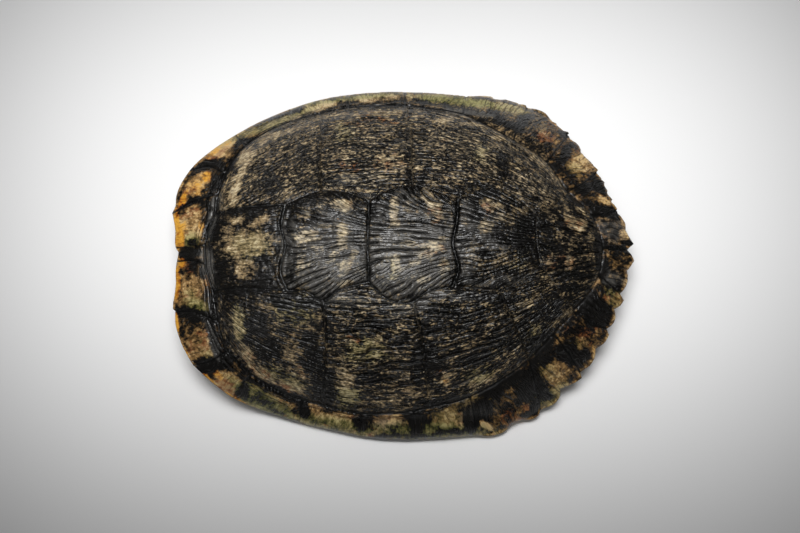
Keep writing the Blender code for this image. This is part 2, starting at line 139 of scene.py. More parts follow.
# The edge seen from above, as lobes (x, y), each from the last point of the lobe before it.
RIM_LOBES = (
    # right side, from the notch over the neck to the tail
    ((-107.5, 2.5), (-108.5, 13.0), (-110.0, 20.5)),
    ((-108.5, 24.0), (-108.3, 28.0), (-102.0, 41.5), (-92.0, 52.0), (-81.0, 61.0),
     (-69.0, 70.0), (-55.5, 77.3), (-39.5, 82.4), (-21.0, 85.1), (0.0, 85.8), (20.0, 84.5),
     (31.5, 83.0)),
    ((38.5, 83.7), (48.5, 82.4), (61.0, 78.2)),
    ((61.4, 76.7),),
    ((67.0, 75.3), (70.2, 73.3), (72.5, 69.7)),
    ((76.2, 66.9), (81.2, 61.6)),
    ((80.2, 60.3),),
    ((84.0, 56.5), (87.0, 51.8), (87.6, 48.8)),
    ((90.6, 45.9), (94.2, 41.6)),
    ((93.2, 39.9),),
    ((96.0, 36.5), (98.1, 32.8), (98.0, 29.0)),
    ((100.3, 26.3), (102.5, 21.7)),
    ((102.0, 20.8),),
    ((104.7, 17.2), (106.5, 13.5), (106.2, 11.3)),
    ((108.2, 7.4), (110.0, 4.7)),
    ((106.6, 1.6),),
    # left side, from the tail back to the neck
    ((108.9, -0.9), (110.0, -3.5)),
    ((108.3, -6.2), (106.3, -8.5)),
    ((106.5, -13.4), (104.8, -17.2), (102.6, -19.7)),
    ((104.6, -22.5),),
    ((102.6, -25.3), (99.8, -27.0)),
    ((100.4, -31.0), (98.7, -34.2), (96.0, -36.2)),
    ((97.3, -38.9),),
    ((95.4, -42.1), (90.7, -45.6)),
    ((90.7, -48.5), (89.2, -51.7), (83.7, -56.1)),
    ((84.5, -58.6),),
    ((81.8, -60.3), (74.2, -63.6)),
    ((74.4, -66.5), (72.5, -69.3), (65.1, -72.7)),
    ((64.6, -74.6), (62.2, -76.4), (54.2, -77.5), (50.8, -79.4)),
    ((48.4, -81.8), (42.1, -84.1), (34.0, -84.0), (22.0, -84.8), (0.0, -85.8), (-16.5, -84.7),
     (-36.0, -80.7), (-59.5, -74.7), (-73.5, -70.3), (-81.2, -66.9), (-91.6, -59.4),
     (-99.3, -52.4)),
    ((-101.0, -49.6), (-105.5, -40.6), (-107.9, -31.1), (-107.8, -26.8)),
    ((-109.0, -25.9),),
    ((-109.0, -23.0),),
    ((-108.1, -17.7), (-107.7, -13.4), (-107.9, -8.0), (-106.5, 1.0)),
)

# The seams between the horn scutes, as (depth, points).
RING = (0.9, (
    (-93.5, 3.5), (-91.8, 11.0), (-88.8, 17.8), (-88.1, 24.3), (-87.3, 28.0), (-84.2, 38.2),
    (-75.5, 53.8), (-71.0, 58.0), (-54.5, 68.0), (-40.0, 72.1), (-26.4, 74.3), (1.3, 75.2),
    (13.5, 73.3), (29.5, 69.2), (39.7, 63.2), (53.0, 54.0), (68.5, 43.0), (78.0, 28.0),
    (89.5, 17.0), (94.0, 1.0), (92.0, -11.5), (79.6, -29.4), (70.0, -39.7), (58.5, -51.3),
    (45.0, -60.7), (30.9, -67.8), (12.1, -72.6), (4.5, -74.0), (-6.8, -75.0), (-20.5, -74.6),
    (-39.0, -70.5), (-48.0, -68.0), (-60.8, -63.3), (-71.5, -57.2), (-82.3, -47.0),
    (-87.0, -33.5), (-89.6, -18.7), (-93.1, -5.6), (-93.5, 3.5)))
VERTEBRAL_SEAMS = {
    "1 right": (0.6, ((-88.8, 17.8), (-78.2, 19.4), (-55.0, 19.7))),
    "1 left": (0.6, ((-89.6, -18.7), (-78.4, -18.6), (-53.7, -20.9))),
    "1 rear": (0.9, ((-55.0, 19.7), (-56.6, 9.7), (-54.7, 0.1), (-57.0, -12.0),
                     (-53.7, -20.9))),
    "2 right": (0.35, ((-55.0, 19.7), (-47.9, 22.8), (-38.5, 26.0), (-26.9, 25.1),
                      (-15.7, 20.4))),
    "2 left": (0.9, ((-53.7, -20.9), (-45.4, -21.7), (-37.1, -25.9), (-30.1, -21.6),
                     (-15.9, -17.8))),
    "2 rear": (0.9, ((-15.7, 20.4), (-16.4, 1.0), (-15.9, -17.8))),
    "3 right": (0.35, ((-15.7, 20.4), (-8.3, 25.2), (4.2, 28.2), (14.9, 25.1), (25.5, 21.2))),
    "3 left": (0.9, ((-15.9, -17.8), (-8.6, -25.0), (4.3, -26.9), (9.8, -22.9),
                     (22.2, -20.1))),
    "3 rear": (1.6, ((25.5, 21.2), (24.8, 10.5), (22.8, 0.0), (25.3, -13.0), (22.2, -20.1))),
    "4 right": (0.35, ((25.5, 21.2), (33.5, 25.5), (46.2, 27.0), (54.5, 22.0), (62.4, 14.4))),
    "4 left": (0.4, ((22.2, -20.1), (33.0, -20.7), (44.4, -21.5), (55.0, -15.5),
                     (63.8, -8.9))),
    "4 rear": (0.3, ((62.4, 14.4), (62.0, 1.0), (63.8, -8.9))),
    "5 right": (0.35, ((62.4, 14.4), (71.0, 20.3), (78.0, 28.0))),
    "5 left": (0.35, ((63.8, -8.9), (71.0, -18.2), (79.6, -29.4))),
}
COSTAL_SEAMS = {
    "1 to 2 right": (0.45, ((-38.5, 26.0), (-38.6, 48.0), (-40.0, 72.1))),
    "2 to 3 right": (0.45, ((4.2, 28.2), (4.5, 52.0), (1.3, 75.2))),
    "3 to 4 right": (0.45, ((46.2, 27.0), (49.5, 40.5), (53.0, 54.0))),
    "1 to 2 left": (0.45, ((-37.1, -25.9), (-36.3, -50.0), (-39.0, -70.5))),
    "2 to 3 left": (0.35, ((4.3, -26.9), (7.2, -38.0), (10.0, -57.0), (12.1, -72.6))),
    "3 to 4 left": (0.45, ((44.4, -21.5), (50.5, -36.0), (58.5, -51.3))),
}
# Round the edge, from the right of the neck plate over the tail to the left of it.
MARGINAL_SEAMS = (
    (0.7, ((-107.6, 3.5), (-100.7, 2.9), (-93.5, 3.5))),
    (0.8, ((-110.0, 20.5), (-103.6, 23.7), (-87.3, 28.0))),
    (0.8, ((-102.0, 41.5), (-94.5, 42.9), (-84.2, 38.2))),
    (0.8, ((-81.0, 61.0), (-78.0, 57.0), (-75.5, 53.8))),
    (0.8, ((-55.5, 77.3), (-54.5, 68.0))),
    (0.8, ((-27.0, 84.4), (-26.4, 74.3))),
    (0.8, ((1.5, 85.8), (1.3, 75.2))),
    (0.8, ((31.5, 83.0), (29.5, 69.2))),
    (0.8, ((61.4, 76.7), (57.5, 67.0), (53.0, 54.0))),
    (0.8, ((80.2, 60.3), (75.0, 52.0), (68.5, 43.0))),
    (0.8, ((93.2, 39.9), (87.0, 34.0), (78.0, 28.0))),
    (0.8, ((102.0, 20.8), (96.0, 18.3), (89.5, 17.0))),
    (0.8, ((106.6, 1.6), (100.3, 1.1), (94.0, 1.0))),
    (0.8, ((102.6, -19.7), (97.0, -15.3), (92.0, -11.5))),
    (0.8, ((96.0, -36.2), (88.0, -33.8), (79.6, -29.4))),
    (0.8, ((83.7, -56.1), (76.5, -47.0), (70.0, -39.7))),
    (0.8, ((65.1, -72.7), (62.0, -62.5), (58.5, -51.3))),
    (0.8, ((34.0, -84.0), (33.0, -76.0), (30.9, -67.8))),
    (0.8, ((4.8, -85.7), (4.5, -74.0))),
    (0.8, ((-21.0, -83.9), (-20.5, -74.6))),
    (0.8, ((-50.2, -77.2), (-48.0, -68.0))),
    (0.8, ((-81.2, -66.9), (-77.0, -61.5), (-71.5, -57.2))),
    (0.8, ((-99.3, -52.4), (-92.0, -51.0), (-82.3, -47.0))),
    (0.8, ((-107.8, -26.8), (-100.0, -27.8), (-87.0, -33.5))),
    (0.7, ((-107.6, -3.0), (-100.6, -3.5), (-93.1, -5.6))),
)
SEAMS = (RING,) + tuple(VERTEBRAL_SEAMS.values()) + tuple(COSTAL_SEAMS.values()) + MARGINAL_SEAMS

# The grooves of the seams, as (share of the depth, half-width), how far they wander from their
# paths, and how much shallower the ring is from a place behind the middle and over a length.
GROOVE = ((0.9, 0.55), (0.25, 1.6))
SEAM_WANDER = 0.22
WANDER_LENGTH = 2.1
RING_LOSS = 0.5
RING_LOSS_START = (25.0, 40.0)
# Distance from the seams past which it isn't measured.
SEAM_REACH = 16.0

# A measure past both ends of the shell.
PAST_END = 120.0

# Where the wrinkles of vertebrals 2 to 5 draw together, the distance from there at which they have
# their usual width, and the size of the fan's heart.
FANS = {2: (-10.0, 1.0), 3: (30.0, 2.0), 4: (70.0, 2.0), 5: (112.0, 1.0)}
FAN_RADIUS = 30.0
FAN_HEART = 20.0
# Half-length of the dome along which the wrinkles run, and their turn on the right front costal.
GRAIN_HALF_LENGTH = 97.0
SLANT = math.radians(28.0)

# In the tables below the vertebrals have the numbers 1 to 5, the costals from the head 10 to 13 on
# the right and 20 to 23 on the left, and the marginals those from 30 on.
# Width and depth of the folds on a scute against the settings. The rest have the usual ones.
FOLD_WIDTHS = {
    1: 0.8, 2: 0.9, 3: 1.0, 4: 0.85, 5: 0.85, 10: 0.7, 11: 0.72, 12: 0.75, 13: 0.85,
    20: 0.9, 21: 1.15, 22: 1.25, 23: 1.0,
}
FOLD_DEPTHS = {1: 0.30, 2: 0.85, 3: 1.00, 4: 0.90, 5: 0.80}
USUAL_FOLD_DEPTH = 0.8
# The same on the marginals and along the ring seam, as (behind, before) a place along the shell.
MARGINAL_FOLD_DEPTHS = (0.50, 0.30)
REAR_MARGINALS = 40.0
COLLAR_FOLD_DEPTHS = (0.40, 0.75)
REAR_COLLAR = 20.0
# Share of their depth on calm horn: vertebral 2 on the right, and the costals before a place.
CALM_SHARE = 0.6
FRONT_COSTALS = -38.0
# How much deeper they are on the left flank, and where it starts and over what length.
FLANK_EXTRA_DEPTH = 0.60
FLANK_SIDE = (20.0, 18.0)
FLANK_FRONT = (-42.0, 14.0)
# The folds end this far from a seam. Over the rear they fade out towards the ring seam (outside,
# inside), from a place behind the middle and over a length.
SEAM_CLEARANCE = 0.4
SEAM_FADE = 0.5
RING_FADE = (5.0, 2.0)
RING_FADE_START = (15.0, 20.0)
# How far the marks are broken up into flecks: on the costals, on the vertebrals, on the marginals
# of the right side up to a place, and on scutes that are unusual for their kind.
FLECKED_COSTALS = 1.0
FLECKED_VERTEBRALS = 0.4
FLECKED_SIDE = 0.22
SIDE_MARGINALS = 70.0
FLECKED = {1: 0.25, 10: 0.75, 20: 0.55}

# Small pits in the horn, shallower on the marginals, and a slow swell. How far from the edge the
# pits and the folds, and the swell, fade in.
PIT_LENGTH = 1.5
PIT_DEPTH = 0.22
PIT_NOISE = (0.45, 0.3)
MARGINAL_PITS = 0.5
FOLD_RIM_FADE = 3.0
SWELL_LENGTH = 11.0
SWELL_DEPTH = 0.55
SWELL_RIM_FADE = 6.0

# The fine lines that follow the ring seam: how far they reach from it (at the neck, elsewhere),
# how ragged they end, and the angles from the tail past which there are any and past which they
# are at the neck.
COLLAR_OUTSIDE = (5.2, 2.2)
COLLAR_INSIDE = (3.4, 2.4)
COLLAR_RAGGED = 1.6
COLLAR_END = math.radians(62.0)
COLLAR_TURN = math.radians(128.0)

# Raised lines along the ring seam: (offset outwards, height, half-width, first and last angle).
# They fade out at both ends over RIDGE_FADE degrees.
RIDGE_FADE = 6.0
RING_RIDGES = (
    (-1.9, 0.30, 0.55, 150, 208),
    (-3.6, 0.26, 0.55, 158, 200),
    (1.8, 0.30, 0.55, 148, 232),
    (3.4, 0.22, 0.50, 160, 222),
    (-2.0, 0.75, 0.90, 33, 76),
    (1.6, 0.30, 0.60, 70, 118),
    (-1.8, 0.45, 0.60, 262, 318),
    (-3.4, 0.35, 0.55, 270, 312),
    (1.7, 0.40, 0.60, 240, 300),
)

# Raised and sunk lines on the scutes, in the picture: (height, half-width in mm, points).
LIPS = (
    (0.55, 0.7, ((284, 206), (279, 220), (281, 232), (283, 244), (279, 258), (277, 275),
                 (283, 290))),
    (-0.45, 2.2, ((290, 208), (287, 225), (290, 245), (287, 265), (287, 280), (293, 288))),
    (0.55, 0.7, ((455, 204), (456, 214), (452, 228), (449, 240), (452, 252), (455, 268),
                 (453, 280), (446, 285))),
    (0.45, 0.6, ((461, 262), (463, 272), (460, 282), (455, 288))),
    (0.40, 0.6, ((448, 270), (448, 278), (440, 284), (430, 290), (420, 298))),
    (0.45, 0.7, ((290, 292), (305, 294), (316, 300), (324, 306))),
    (0.90, 0.6, ((480, 434), (479, 426), (484, 421), (491, 424), (494, 431))),
)

# Small chips in the edge, from these places behind the middle and to the right of it, where they
# come in over CHIP_RUN_IN. A chip is about CHIP_GAP long where the edge has the radius given.
CHIP_START = 30.0
CHIP_SIDE = 8.0
CHIP_RUN_IN = 16.0
CHIP_RADIUS = 95.0
CHIP_GAP = 2.8
CHIP_DEPTH = 1.3
# Value of the noise past which there is a chip, and how far past it the chip has its depth.
CHIP_NOISE = (0.45, 0.35)

# The rings of points round the edge, as shares of a quarter turn from the horn to the bone, and
# how far the horn reaches in under the edge.
EDGE_TURNS = (0.3, 0.6, 0.85)
HORN_BAND = 9.0
# How clear of the edge and of the lines in it the points of a sheet stay, as a share of their gap,
# and the gap between the rows on the underside against that along them.
TOP_CLEARANCE = 0.85
UNDER_CLEARANCE = 0.6
ROW_SHARE = 0.87
# Depth of a seam groove that is painted as dark as a groove can be, as painted shade.
DARKEST_GROOVE = 0.8

# Marks on the horn in the picture: (x, y, half-length, half-width, turn in degrees, strength).
TAN = (
    # vertebral 1
    (246, 243, 26, 15, 0, 0.95), (246, 268, 14, 11, 10, 0.85), (259, 222, 13, 5, 20, 0.95),
    (228, 232, 8, 7, 0, 0.9), (270, 250, 6, 8, 0, 0.5), (238, 220, 9, 5, 20, 0.95),
    # costal 1 right
    (237, 184, 7, 22, -14, 1.2), (246, 156, 15, 8, 55, 1.2), (275, 136, 21, 6, 28, 1.05),
    (292, 129, 12, 5, 15, 0.8), (236, 200, 8, 7, 0, 0.9), (255, 150, 8, 5, 40, 0.7),
    # costal 2 right
    (352, 114, 32, 5, 3, 0.75), (342, 132, 6, 16, 0, 0.75), (345, 162, 9, 18, 0, 0.6),
    (392, 166, 16, 15, 0, 0.75), (370, 182, 24, 6, 0, 0.6), (387, 112, 18, 5, 0, 1.2),
    (345, 124, 10, 4, 10, 0.8), (378, 140, 14, 8, 0, 0.5),
    # costal 3 right
    (441, 120, 12, 5, -5, 1.1), (480, 152, 7, 8, 0, 0.85), (415, 117, 12, 4, 0, 0.7),
    (432, 150, 12, 4, 0, 0.6), (437, 166, 9, 10, 0, 0.5), (395, 128, 10, 4, 0, 0.5),
    (474, 124, 18, 4, -12, 0.85), (500, 138, 10, 2.5, -15, 1.1), (466, 141, 10, 4, 0, 0.5),
    # costal 4 right
    (518, 180, 15, 7, -5, 0.55), (542, 163, 15, 4, -38, 0.9), (530, 151, 14, 4, -36, 0.7),
    (545, 190, 12, 5, -8, 0.55), (520, 212, 7, 7, 0, 0.6), (570, 186, 9, 4, 0, 0.6),
    (555, 178, 8, 4, -50, 0.8),
    # vertebral 2
    (310, 212, 14, 8, 0, 0.6), (306, 238, 15, 10, 0, 1.1), (342, 204, 12, 7, 0, 1.0),
    (343, 236, 7, 13, 0, 0.95), (347, 265, 6, 15, -38, 1.1), (301, 262, 7, 9, 0, 0.9),
    (326, 226, 14, 5, 0, 0.5), (345, 283, 9, 5, 15, 0.9), (320, 248, 12, 3, 0, 0.5),
    (335, 255, 14, 4, 40, 0.7),
    # vertebral 3
    (394, 212, 6, 20, 5, 1.0), (432, 204, 8, 16, 30, 0.95), (396, 268, 6, 15, 0, 0.9),
    (430, 248, 15, 9, 20, 1.0), (443, 266, 6, 11, 0, 0.9), (412, 244, 14, 4, 0, 0.75),
    (450, 222, 4, 10, 0, 0.6), (415, 262, 9, 4, 30, 0.75), (425, 280, 9, 4, 20, 0.7),
    (440, 220, 8, 5, -30, 0.8),
    # vertebral 4
    (490, 205, 12, 7, -30, 0.9), (505, 218, 12, 6, -35, 0.75), (485, 226, 9, 8, 0, 0.65),
    (497, 262, 14, 6, 30, 0.65), (482, 262, 6, 9, 20, 0.5), (524, 268, 10, 3, 30, 0.5),
    (475, 244, 8, 9, 0, 0.5),
    # vertebral 5
    (575, 222, 14, 8, -30, 1.05), (570, 262, 9, 6, 0, 0.75), (586, 254, 9, 4, 10, 0.55),
    (558, 245, 7, 4, 0, 0.5), (556, 218, 6, 3, 10, 0.5), (553, 281, 7, 5, 0, 0.65),
    (591, 235, 6, 8, 0, 0.75), (584, 212, 8, 4, -35, 0.8),
    # costal 1 left
    (238, 326, 6, 18, 8, 0.85), (246, 352, 6, 14, 38, 0.95), (262, 373, 18, 5, -36, 1.05),
    (292, 387, 18, 5, -20, 1.05), (275, 338, 8, 12, 0, 0.4), (291, 345, 8, 16, 10, 0.5),
    (304, 327, 12, 7, 0, 0.5), (262, 308, 14, 6, 0, 0.6), (318, 322, 8, 6, 0, 0.5),
    (300, 372, 12, 6, -10, 0.7), (336, 336, 5, 8, 0, 0.5), (290, 352, 12, 12, 0, 0.8),
    # costal 2 left
    (346, 384, 9, 22, 5, 0.95), (372, 346, 16, 9, 0, 0.9), (362, 326, 12, 6, 0, 0.5),
    (352, 340, 10, 4, -30, 0.7), (349, 322, 10, 5, 0, 0.5), (385, 388, 14, 6, 0, 0.6),
    (406, 328, 7, 14, 0, 0.45), (372, 308, 16, 4, 0, 0.4), (378, 403, 26, 4, 0, 0.8),
    (418, 392, 16, 6, 0, 0.75), (392, 362, 9, 9, 0, 0.35),
    # costal 3 left
    (447, 378, 9, 7, 0, 0.75), (481, 380, 17, 6, 14, 0.95), (434, 306, 10, 4, 0, 0.4),
    (470, 346, 18, 4, 10, 0.4), (446, 338, 8, 3, 0, 0.3), (511, 356, 5, 3, 0, 0.5),
    (487, 338, 13, 6, 10, 0.5), (480, 318, 10, 4, 0, 0.25),
    # costal 4 left
    (526, 304, 12, 4, 5, 0.8), (537, 295, 7, 5, 0, 0.7), (536, 332, 5, 6, 30, 0.7),
    (556, 322, 10, 2, 50, 0.9), (571, 312, 8, 4, 30, 0.7), (497, 350, 8, 3, 20, 0.3),
    (520, 320, 10, 4, 0, 0.5),
    # marginals, right side from the neck
    (190, 221, 17, 20, 0, 1.1), (196, 184, 19, 12, 40, 1.1), (223, 148, 18, 10, 38, 1.4),
    (250, 134, 14, 6, 34, 0.7), (285, 119, 26, 5, 20, 0.9), (322, 106, 22, 7, 14, 1.35),
    (375, 98, 34, 6, 3, 1.15), (430, 97, 34, 6, -2, 0.95), (478, 102, 22, 7, -6, 0.8),
    (510, 108, 18, 9, -15, 1.1), (488, 97, 10, 3, -3, 1.0), (549, 133, 15, 12, -32, 1.0),
    (580, 163, 15, 12, -38, 1.3), (605, 201, 8, 4.5, -38, 1.4), (624, 236, 6, 8, 25, 1.3),
    # marginals, left side from the tail
    (621, 264, 11, 7, -10, 0.6), (582, 339, 13, 7, 10, 0.7), (592, 350, 5, 12, 30, 0.9),
    (556, 377, 17, 14, 25, 1.05), (510, 413, 23, 15, 5, 0.7), (447, 418, 19, 9, 0, 0.95),
    (386, 419, 20, 6.5, 0, 1.0), (329, 412, 23, 8, -14, 1.4), (278, 399, 24, 5, -24, 0.75),
    (228, 382, 20, 11, -38, 0.95), (200, 344, 19, 17, -30, 1.0), (193, 286, 15, 20, 0, 1.05),
    # The last mark is a painted highlight on the curled chip of horn at the lower edge.
    (486, 425, 8, 2.5, -20, 1.8),
)
OLIVE = (
    (252, 246, 20, 14, 0, 0.4), (191, 240, 9, 8, 0, 0.9), (270, 124, 60, 6, 26, 0.8),
    (345, 99, 60, 4, 6, 1.0), (460, 101, 48, 7, -8, 1.3), (510, 108, 20, 8, -14, 0.7),
    (198, 307, 14, 9, -20, 0.95), (190, 300, 8, 12, 0, 0.6), (262, 402, 40, 9, -27, 1.3),
    (206, 352, 5, 12, 20, 0.5), (335, 425, 50, 7, -10, 1.0), (430, 431, 60, 8, 0, 1.1),
    (548, 397, 18, 8, 25, 0.8), (560, 388, 12, 6, 30, 0.6), (612, 292, 8, 8, 0, 0.7),
    (348, 398, 12, 12, 0, 0.7), (285, 378, 24, 6, -25, 0.5), (368, 350, 18, 12, 0, 0.6),
    (296, 310, 20, 14, 0, 0.5), (478, 375, 14, 6, 10, 0.5), (575, 345, 10, 6, 10, 0.3),
    (345, 132, 8, 12, 0, 0.4), (518, 265, 10, 5, 30, 0.3), (480, 152, 8, 8, 0, 0.4),
    (536, 332, 7, 7, 0, 0.4), (615, 303, 7, 5, 0, 0.5), (470, 404, 30, 10, 10, 0.3),
    (446, 416, 16, 8, 0, 0.5), (240, 322, 8, 22, 8, 0.5), (545, 372, 12, 10, 20, 0.4),
    (390, 272, 8, 12, 0, 0.3), (575, 168, 8, 8, 0, 0.4),
)
AMBER = (
    (180, 238, 5, 11, 0, 1.2), (177, 222, 3.5, 14, 5, 1.0), (184, 226, 5, 6, 0, 0.6),
    (203, 224, 6, 7, 0, 0.5), (196, 184, 16, 9, 42, 0.45), (183, 200, 4, 10, -20, 1.0),
    (206, 177, 6, 7, 0, 0.7), (214, 151, 14, 6, 38, 0.6), (228, 142, 6, 4, 38, 0.6),
    (177, 283, 4, 17, 0, 1.3), (182, 262, 4, 6, 0, 0.9), (176, 322, 3, 14, 8, 0.9),
    (184, 352, 3, 15, 30, 0.9), (204, 376, 3, 16, 52, 0.9), (236, 400, 2.5, 22, 62, 0.7),
    (556, 124, 7, 4, -35, 0.5), (583, 158, 8, 6, -30, 0.3), (606, 201, 6, 3, -35, 0.4),
    (572, 384, 8, 2, 20, 0.5), (595, 352, 2, 10, 30, 0.6), (447, 378, 6, 4, 0, 0.4),
    (525, 408, 9, 6, 10, 0.25), (629, 236, 3, 6, 25, 0.3), (616, 297, 8, 3, 20, 0.25),
    (207, 282, 4, 10, 0, 0.5), (215, 372, 12, 4, -38, 0.5), (488, 96, 8, 2, -3, 0.4),
)
RUST = (
    (190, 268, 8, 6, 0, 0.7), (183, 292, 7, 6, 0, 0.5), (192, 212, 10, 6, 10, 0.7),
    (216, 156, 14, 4, 38, 0.7), (226, 386, 16, 7, -38, 1.0), (585, 331, 14, 5, 10, 1.0),
    (606, 299, 7, 4, 0, 0.5), (560, 262, 20, 8, 0, 0.5), (512, 418, 14, 8, 0, 0.55),
    (545, 137, 12, 9, 0, 0.8), (190, 252, 8, 1.5, 0, 0.8), (395, 165, 16, 12, 0, 0.4),
    (490, 212, 14, 12, 0, 0.4), (190, 190, 10, 6, 40, 0.7), (602, 262, 6, 6, 0, 0.5),
    (440, 372, 8, 4, 0, 0.6), (528, 410, 12, 8, 0, 0.45), (290, 388, 18, 4, -25, 0.5),
    (350, 168, 12, 8, 0, 0.6), (435, 215, 12, 10, 0, 0.4), (432, 250, 12, 8, 0, 0.4),
    (330, 214, 10, 10, 0, 0.3), (355, 340, 10, 3, -30, 0.8), (200, 344, 14, 11, -20, 0.6),
    (300, 330, 12, 20, 0, 0.3), (246, 352, 6, 18, 35, 0.45), (262, 374, 20, 5, -36, 0.45),
    (300, 368, 14, 12, 0, 0.35), (575, 225, 14, 10, 0, 0.4), (375, 120, 30, 10, 0, 0.4),
    (365, 412, 10, 6, 0, 0.4),
)
# Greyish marks: worn horn. Over vertebrals 2 and 3, the collar at the neck, along the upper edge and
# on the lips beside the seams they stand for a painted sheen and painted highlights of the soft box.
GREY_AND_SHEEN = (
    (290, 165, 45, 34, -20, 0.15), (455, 150, 55, 32, 0, 0.25), (360, 150, 40, 30, 0, 0.2),
    (530, 185, 26, 16, 0, 0.25), (325, 252, 46, 40, 0, 0.7), (410, 255, 48, 42, 0, 0.9),
    (328, 270, 40, 24, 0, 1.0), (412, 272, 42, 24, 0, 1.0), (468, 240, 12, 42, 0, 0.6),
    (335, 215, 28, 14, 0, 0.55), (405, 212, 36, 20, 0, 0.6), (612, 230, 14, 14, 0, 0.6),
    (613, 279, 12, 8, 0, 0.6), (468, 418, 9, 14, 0, 0.35), (388, 425, 18, 6, 0, 0.5),
    (345, 300, 34, 10, 0, 0.6), (400, 304, 34, 10, 0, 0.6), (207, 264, 8, 18, 8, 1.0),
    (470, 112, 34, 4, -8, 0.8), (290, 120, 30, 4, 22, 0.5), (284, 250, 4, 34, 0, 0.7),
    (490, 230, 20, 24, 0, 0.5), (212, 340, 5, 24, 15, 0.6), (213, 215, 6, 26, -10, 0.6),
    (360, 180, 40, 8, 0, 0.5), (440, 292, 24, 6, 0, 0.2), (500, 281, 28, 5, 10, 0.5),
    (449, 240, 7, 30, 0, 0.9),
)
DARK = (
    # between the marginals
    (190, 203, 16, 3, 25, 0.9), (188, 253, 11, 5, 0, 1.0), (202, 165, 11, 3, 18, 0.9),
    (240, 142, 8, 3, 40, 0.6), (300, 109, 6, 5, 0, 0.3), (522, 122, 5, 14, -30, 1.0),
    (508, 124, 14, 4, -15, 0.9), (565, 134, 5, 4, -30, 0.9), (567, 150, 4, 11, -35, 0.9),
    (562, 158, 6, 5, 0, 0.4), (591, 186, 13, 4, 25, 1.0), (608, 212, 14, 5, 0, 0.95),
    (604, 189, 6, 5, 0, 0.6), (629, 243, 6, 3, 0, 1.0), (616, 248, 14, 2.5, 0, 0.95),
    (630, 254, 8, 2.5, -15, 0.6), (598, 306, 12, 6, -20, 0.95), (593, 316, 16, 4, -25, 0.95),
    (572, 355, 14, 8, -20, 0.95), (602, 322, 6, 5, 0, 0.8), (530, 386, 8, 14, -20, 1.0),
    (541, 360, 10, 7, 20, 0.75), (540, 388, 12, 8, -30, 0.9), (535, 406, 5, 8, 0, 0.8),
    (471, 421, 7, 12, 0, 0.9), (482, 408, 11, 8, 15, 0.9), (418, 426, 9, 11, 0, 0.9),
    (360, 425, 6, 8, 10, 0.6), (304, 411, 5, 7, 0, 0.7), (264, 399, 8, 7, -25, 0.6),
    (242, 392, 7, 8, 0, 1.0), (211, 366, 20, 6, 15, 1.0), (193, 242, 6, 4, 0, 0.6),
    (192, 314, 19, 6, -15, 1.0), (214, 342, 4, 22, 15, 0.9), (213, 300, 4, 20, -8, 0.9),
    (211, 212, 4, 22, -14, 0.75), (224, 174, 3, 24, -35, 0.75), (450, 110, 45, 2, -8, 0.5),
    (380, 105, 40, 2, 0, 0.5), (612, 284, 12, 4, -30, 0.9), (527, 414, 8, 3, 20, 0.6),
    (286, 417, 28, 2.5, -24, 0.6), (340, 433, 32, 3, -10, 0.6), (398, 437, 34, 3, 0, 0.7),
    (448, 433, 20, 3.5, 5, 0.7), (290, 113, 40, 2, 18, 0.5), (440, 93, 60, 2, -2, 0.5),
    # on the costals and vertebrals
    (270, 182, 10, 14, -20, 0.6), (300, 165, 18, 24, 0, 0.25), (250, 208, 24, 3, 5, 0.9),
    (221, 272, 5, 10, 0, 0.75), (262, 262, 7, 6, 0, 0.5), (250, 289, 30, 5, 0, 0.95),
    (284, 300, 8, 8, 0, 0.9), (287, 220, 6, 14, 0, 1.2), (291, 258, 4, 28, 0, 0.7),
    (316, 221, 5, 6, 0, 0.8), (312, 196, 14, 4, 15, 0.55), (322, 243, 14, 2.5, 0, 0.6),
    (425, 230, 28, 3, 0, 0.6), (374, 212, 5, 12, 0, 0.4), (458, 240, 3, 34, 0, 1.0),
    (460, 282, 7, 5, 0, 0.8), (512, 242, 34, 4, 0, 1.0), (474, 212, 8, 16, 0, 0.4),
    (530, 228, 18, 7, 0, 0.8), (536, 250, 18, 5, 0, 0.7), (575, 276, 16, 4, 0, 0.6),
    (600, 245, 6, 10, 0, 0.5), (604, 268, 5, 12, 0, 0.9), (423, 178, 5, 12, -25, 0.7),
    (258, 326, 9, 12, 0, 1.0), (268, 350, 12, 8, 30, 1.0), (312, 358, 9, 24, 0, 0.6),
    (325, 390, 9, 20, 0, 0.9), (370, 376, 14, 5, 0, 0.6), (375, 325, 18, 5, 0, 0.5),
    (328, 318, 5, 20, 0, 0.4), (425, 360, 12, 22, 0, 0.75), (402, 340, 6, 8, 0, 0.6),
    (500, 342, 20, 8, 10, 0.4), (548, 309, 13, 9, 0, 0.8), (535, 318, 20, 6, 20, 0.4),
    (484, 297, 42, 4, -2, 0.6), (312, 303, 14, 5, 0, 0.6), (540, 345, 14, 8, 30, 0.7),
    (436, 402, 24, 3, 8, 0.8), (340, 408, 20, 3, -3, 0.6), (286, 394, 22, 3, -24, 0.9),
    (505, 384, 24, 5, 28, 0.9), (478, 358, 18, 6, 14, 0.6), (434, 308, 12, 4, 0, 0.6),
    (230, 300, 5, 8, 0, 0.6), (502, 165, 6, 12, 0, 0.8), (572, 288, 10, 4, 0, 0.5),
    (370, 195, 40, 2.5, 0, 0.6), (250, 340, 5, 6, 0, 0.5), (450, 190, 20, 4, 0, 0.5),
    (318, 155, 3, 30, 0, 0.4), (408, 160, 3, 24, 0, 0.3), (474, 188, 18, 7, -8, 0.4),
    (326, 184, 16, 6, 0, 0.3), (452, 318, 26, 12, 0, 0.35), (548, 330, 10, 8, 0, 0.3),
)
# Height of the horn at which the marks have their size in the picture, and the share of that size
# at which a mark has faded out.
MARK_HEIGHT = 40.0
MARK_FADE = 1.5
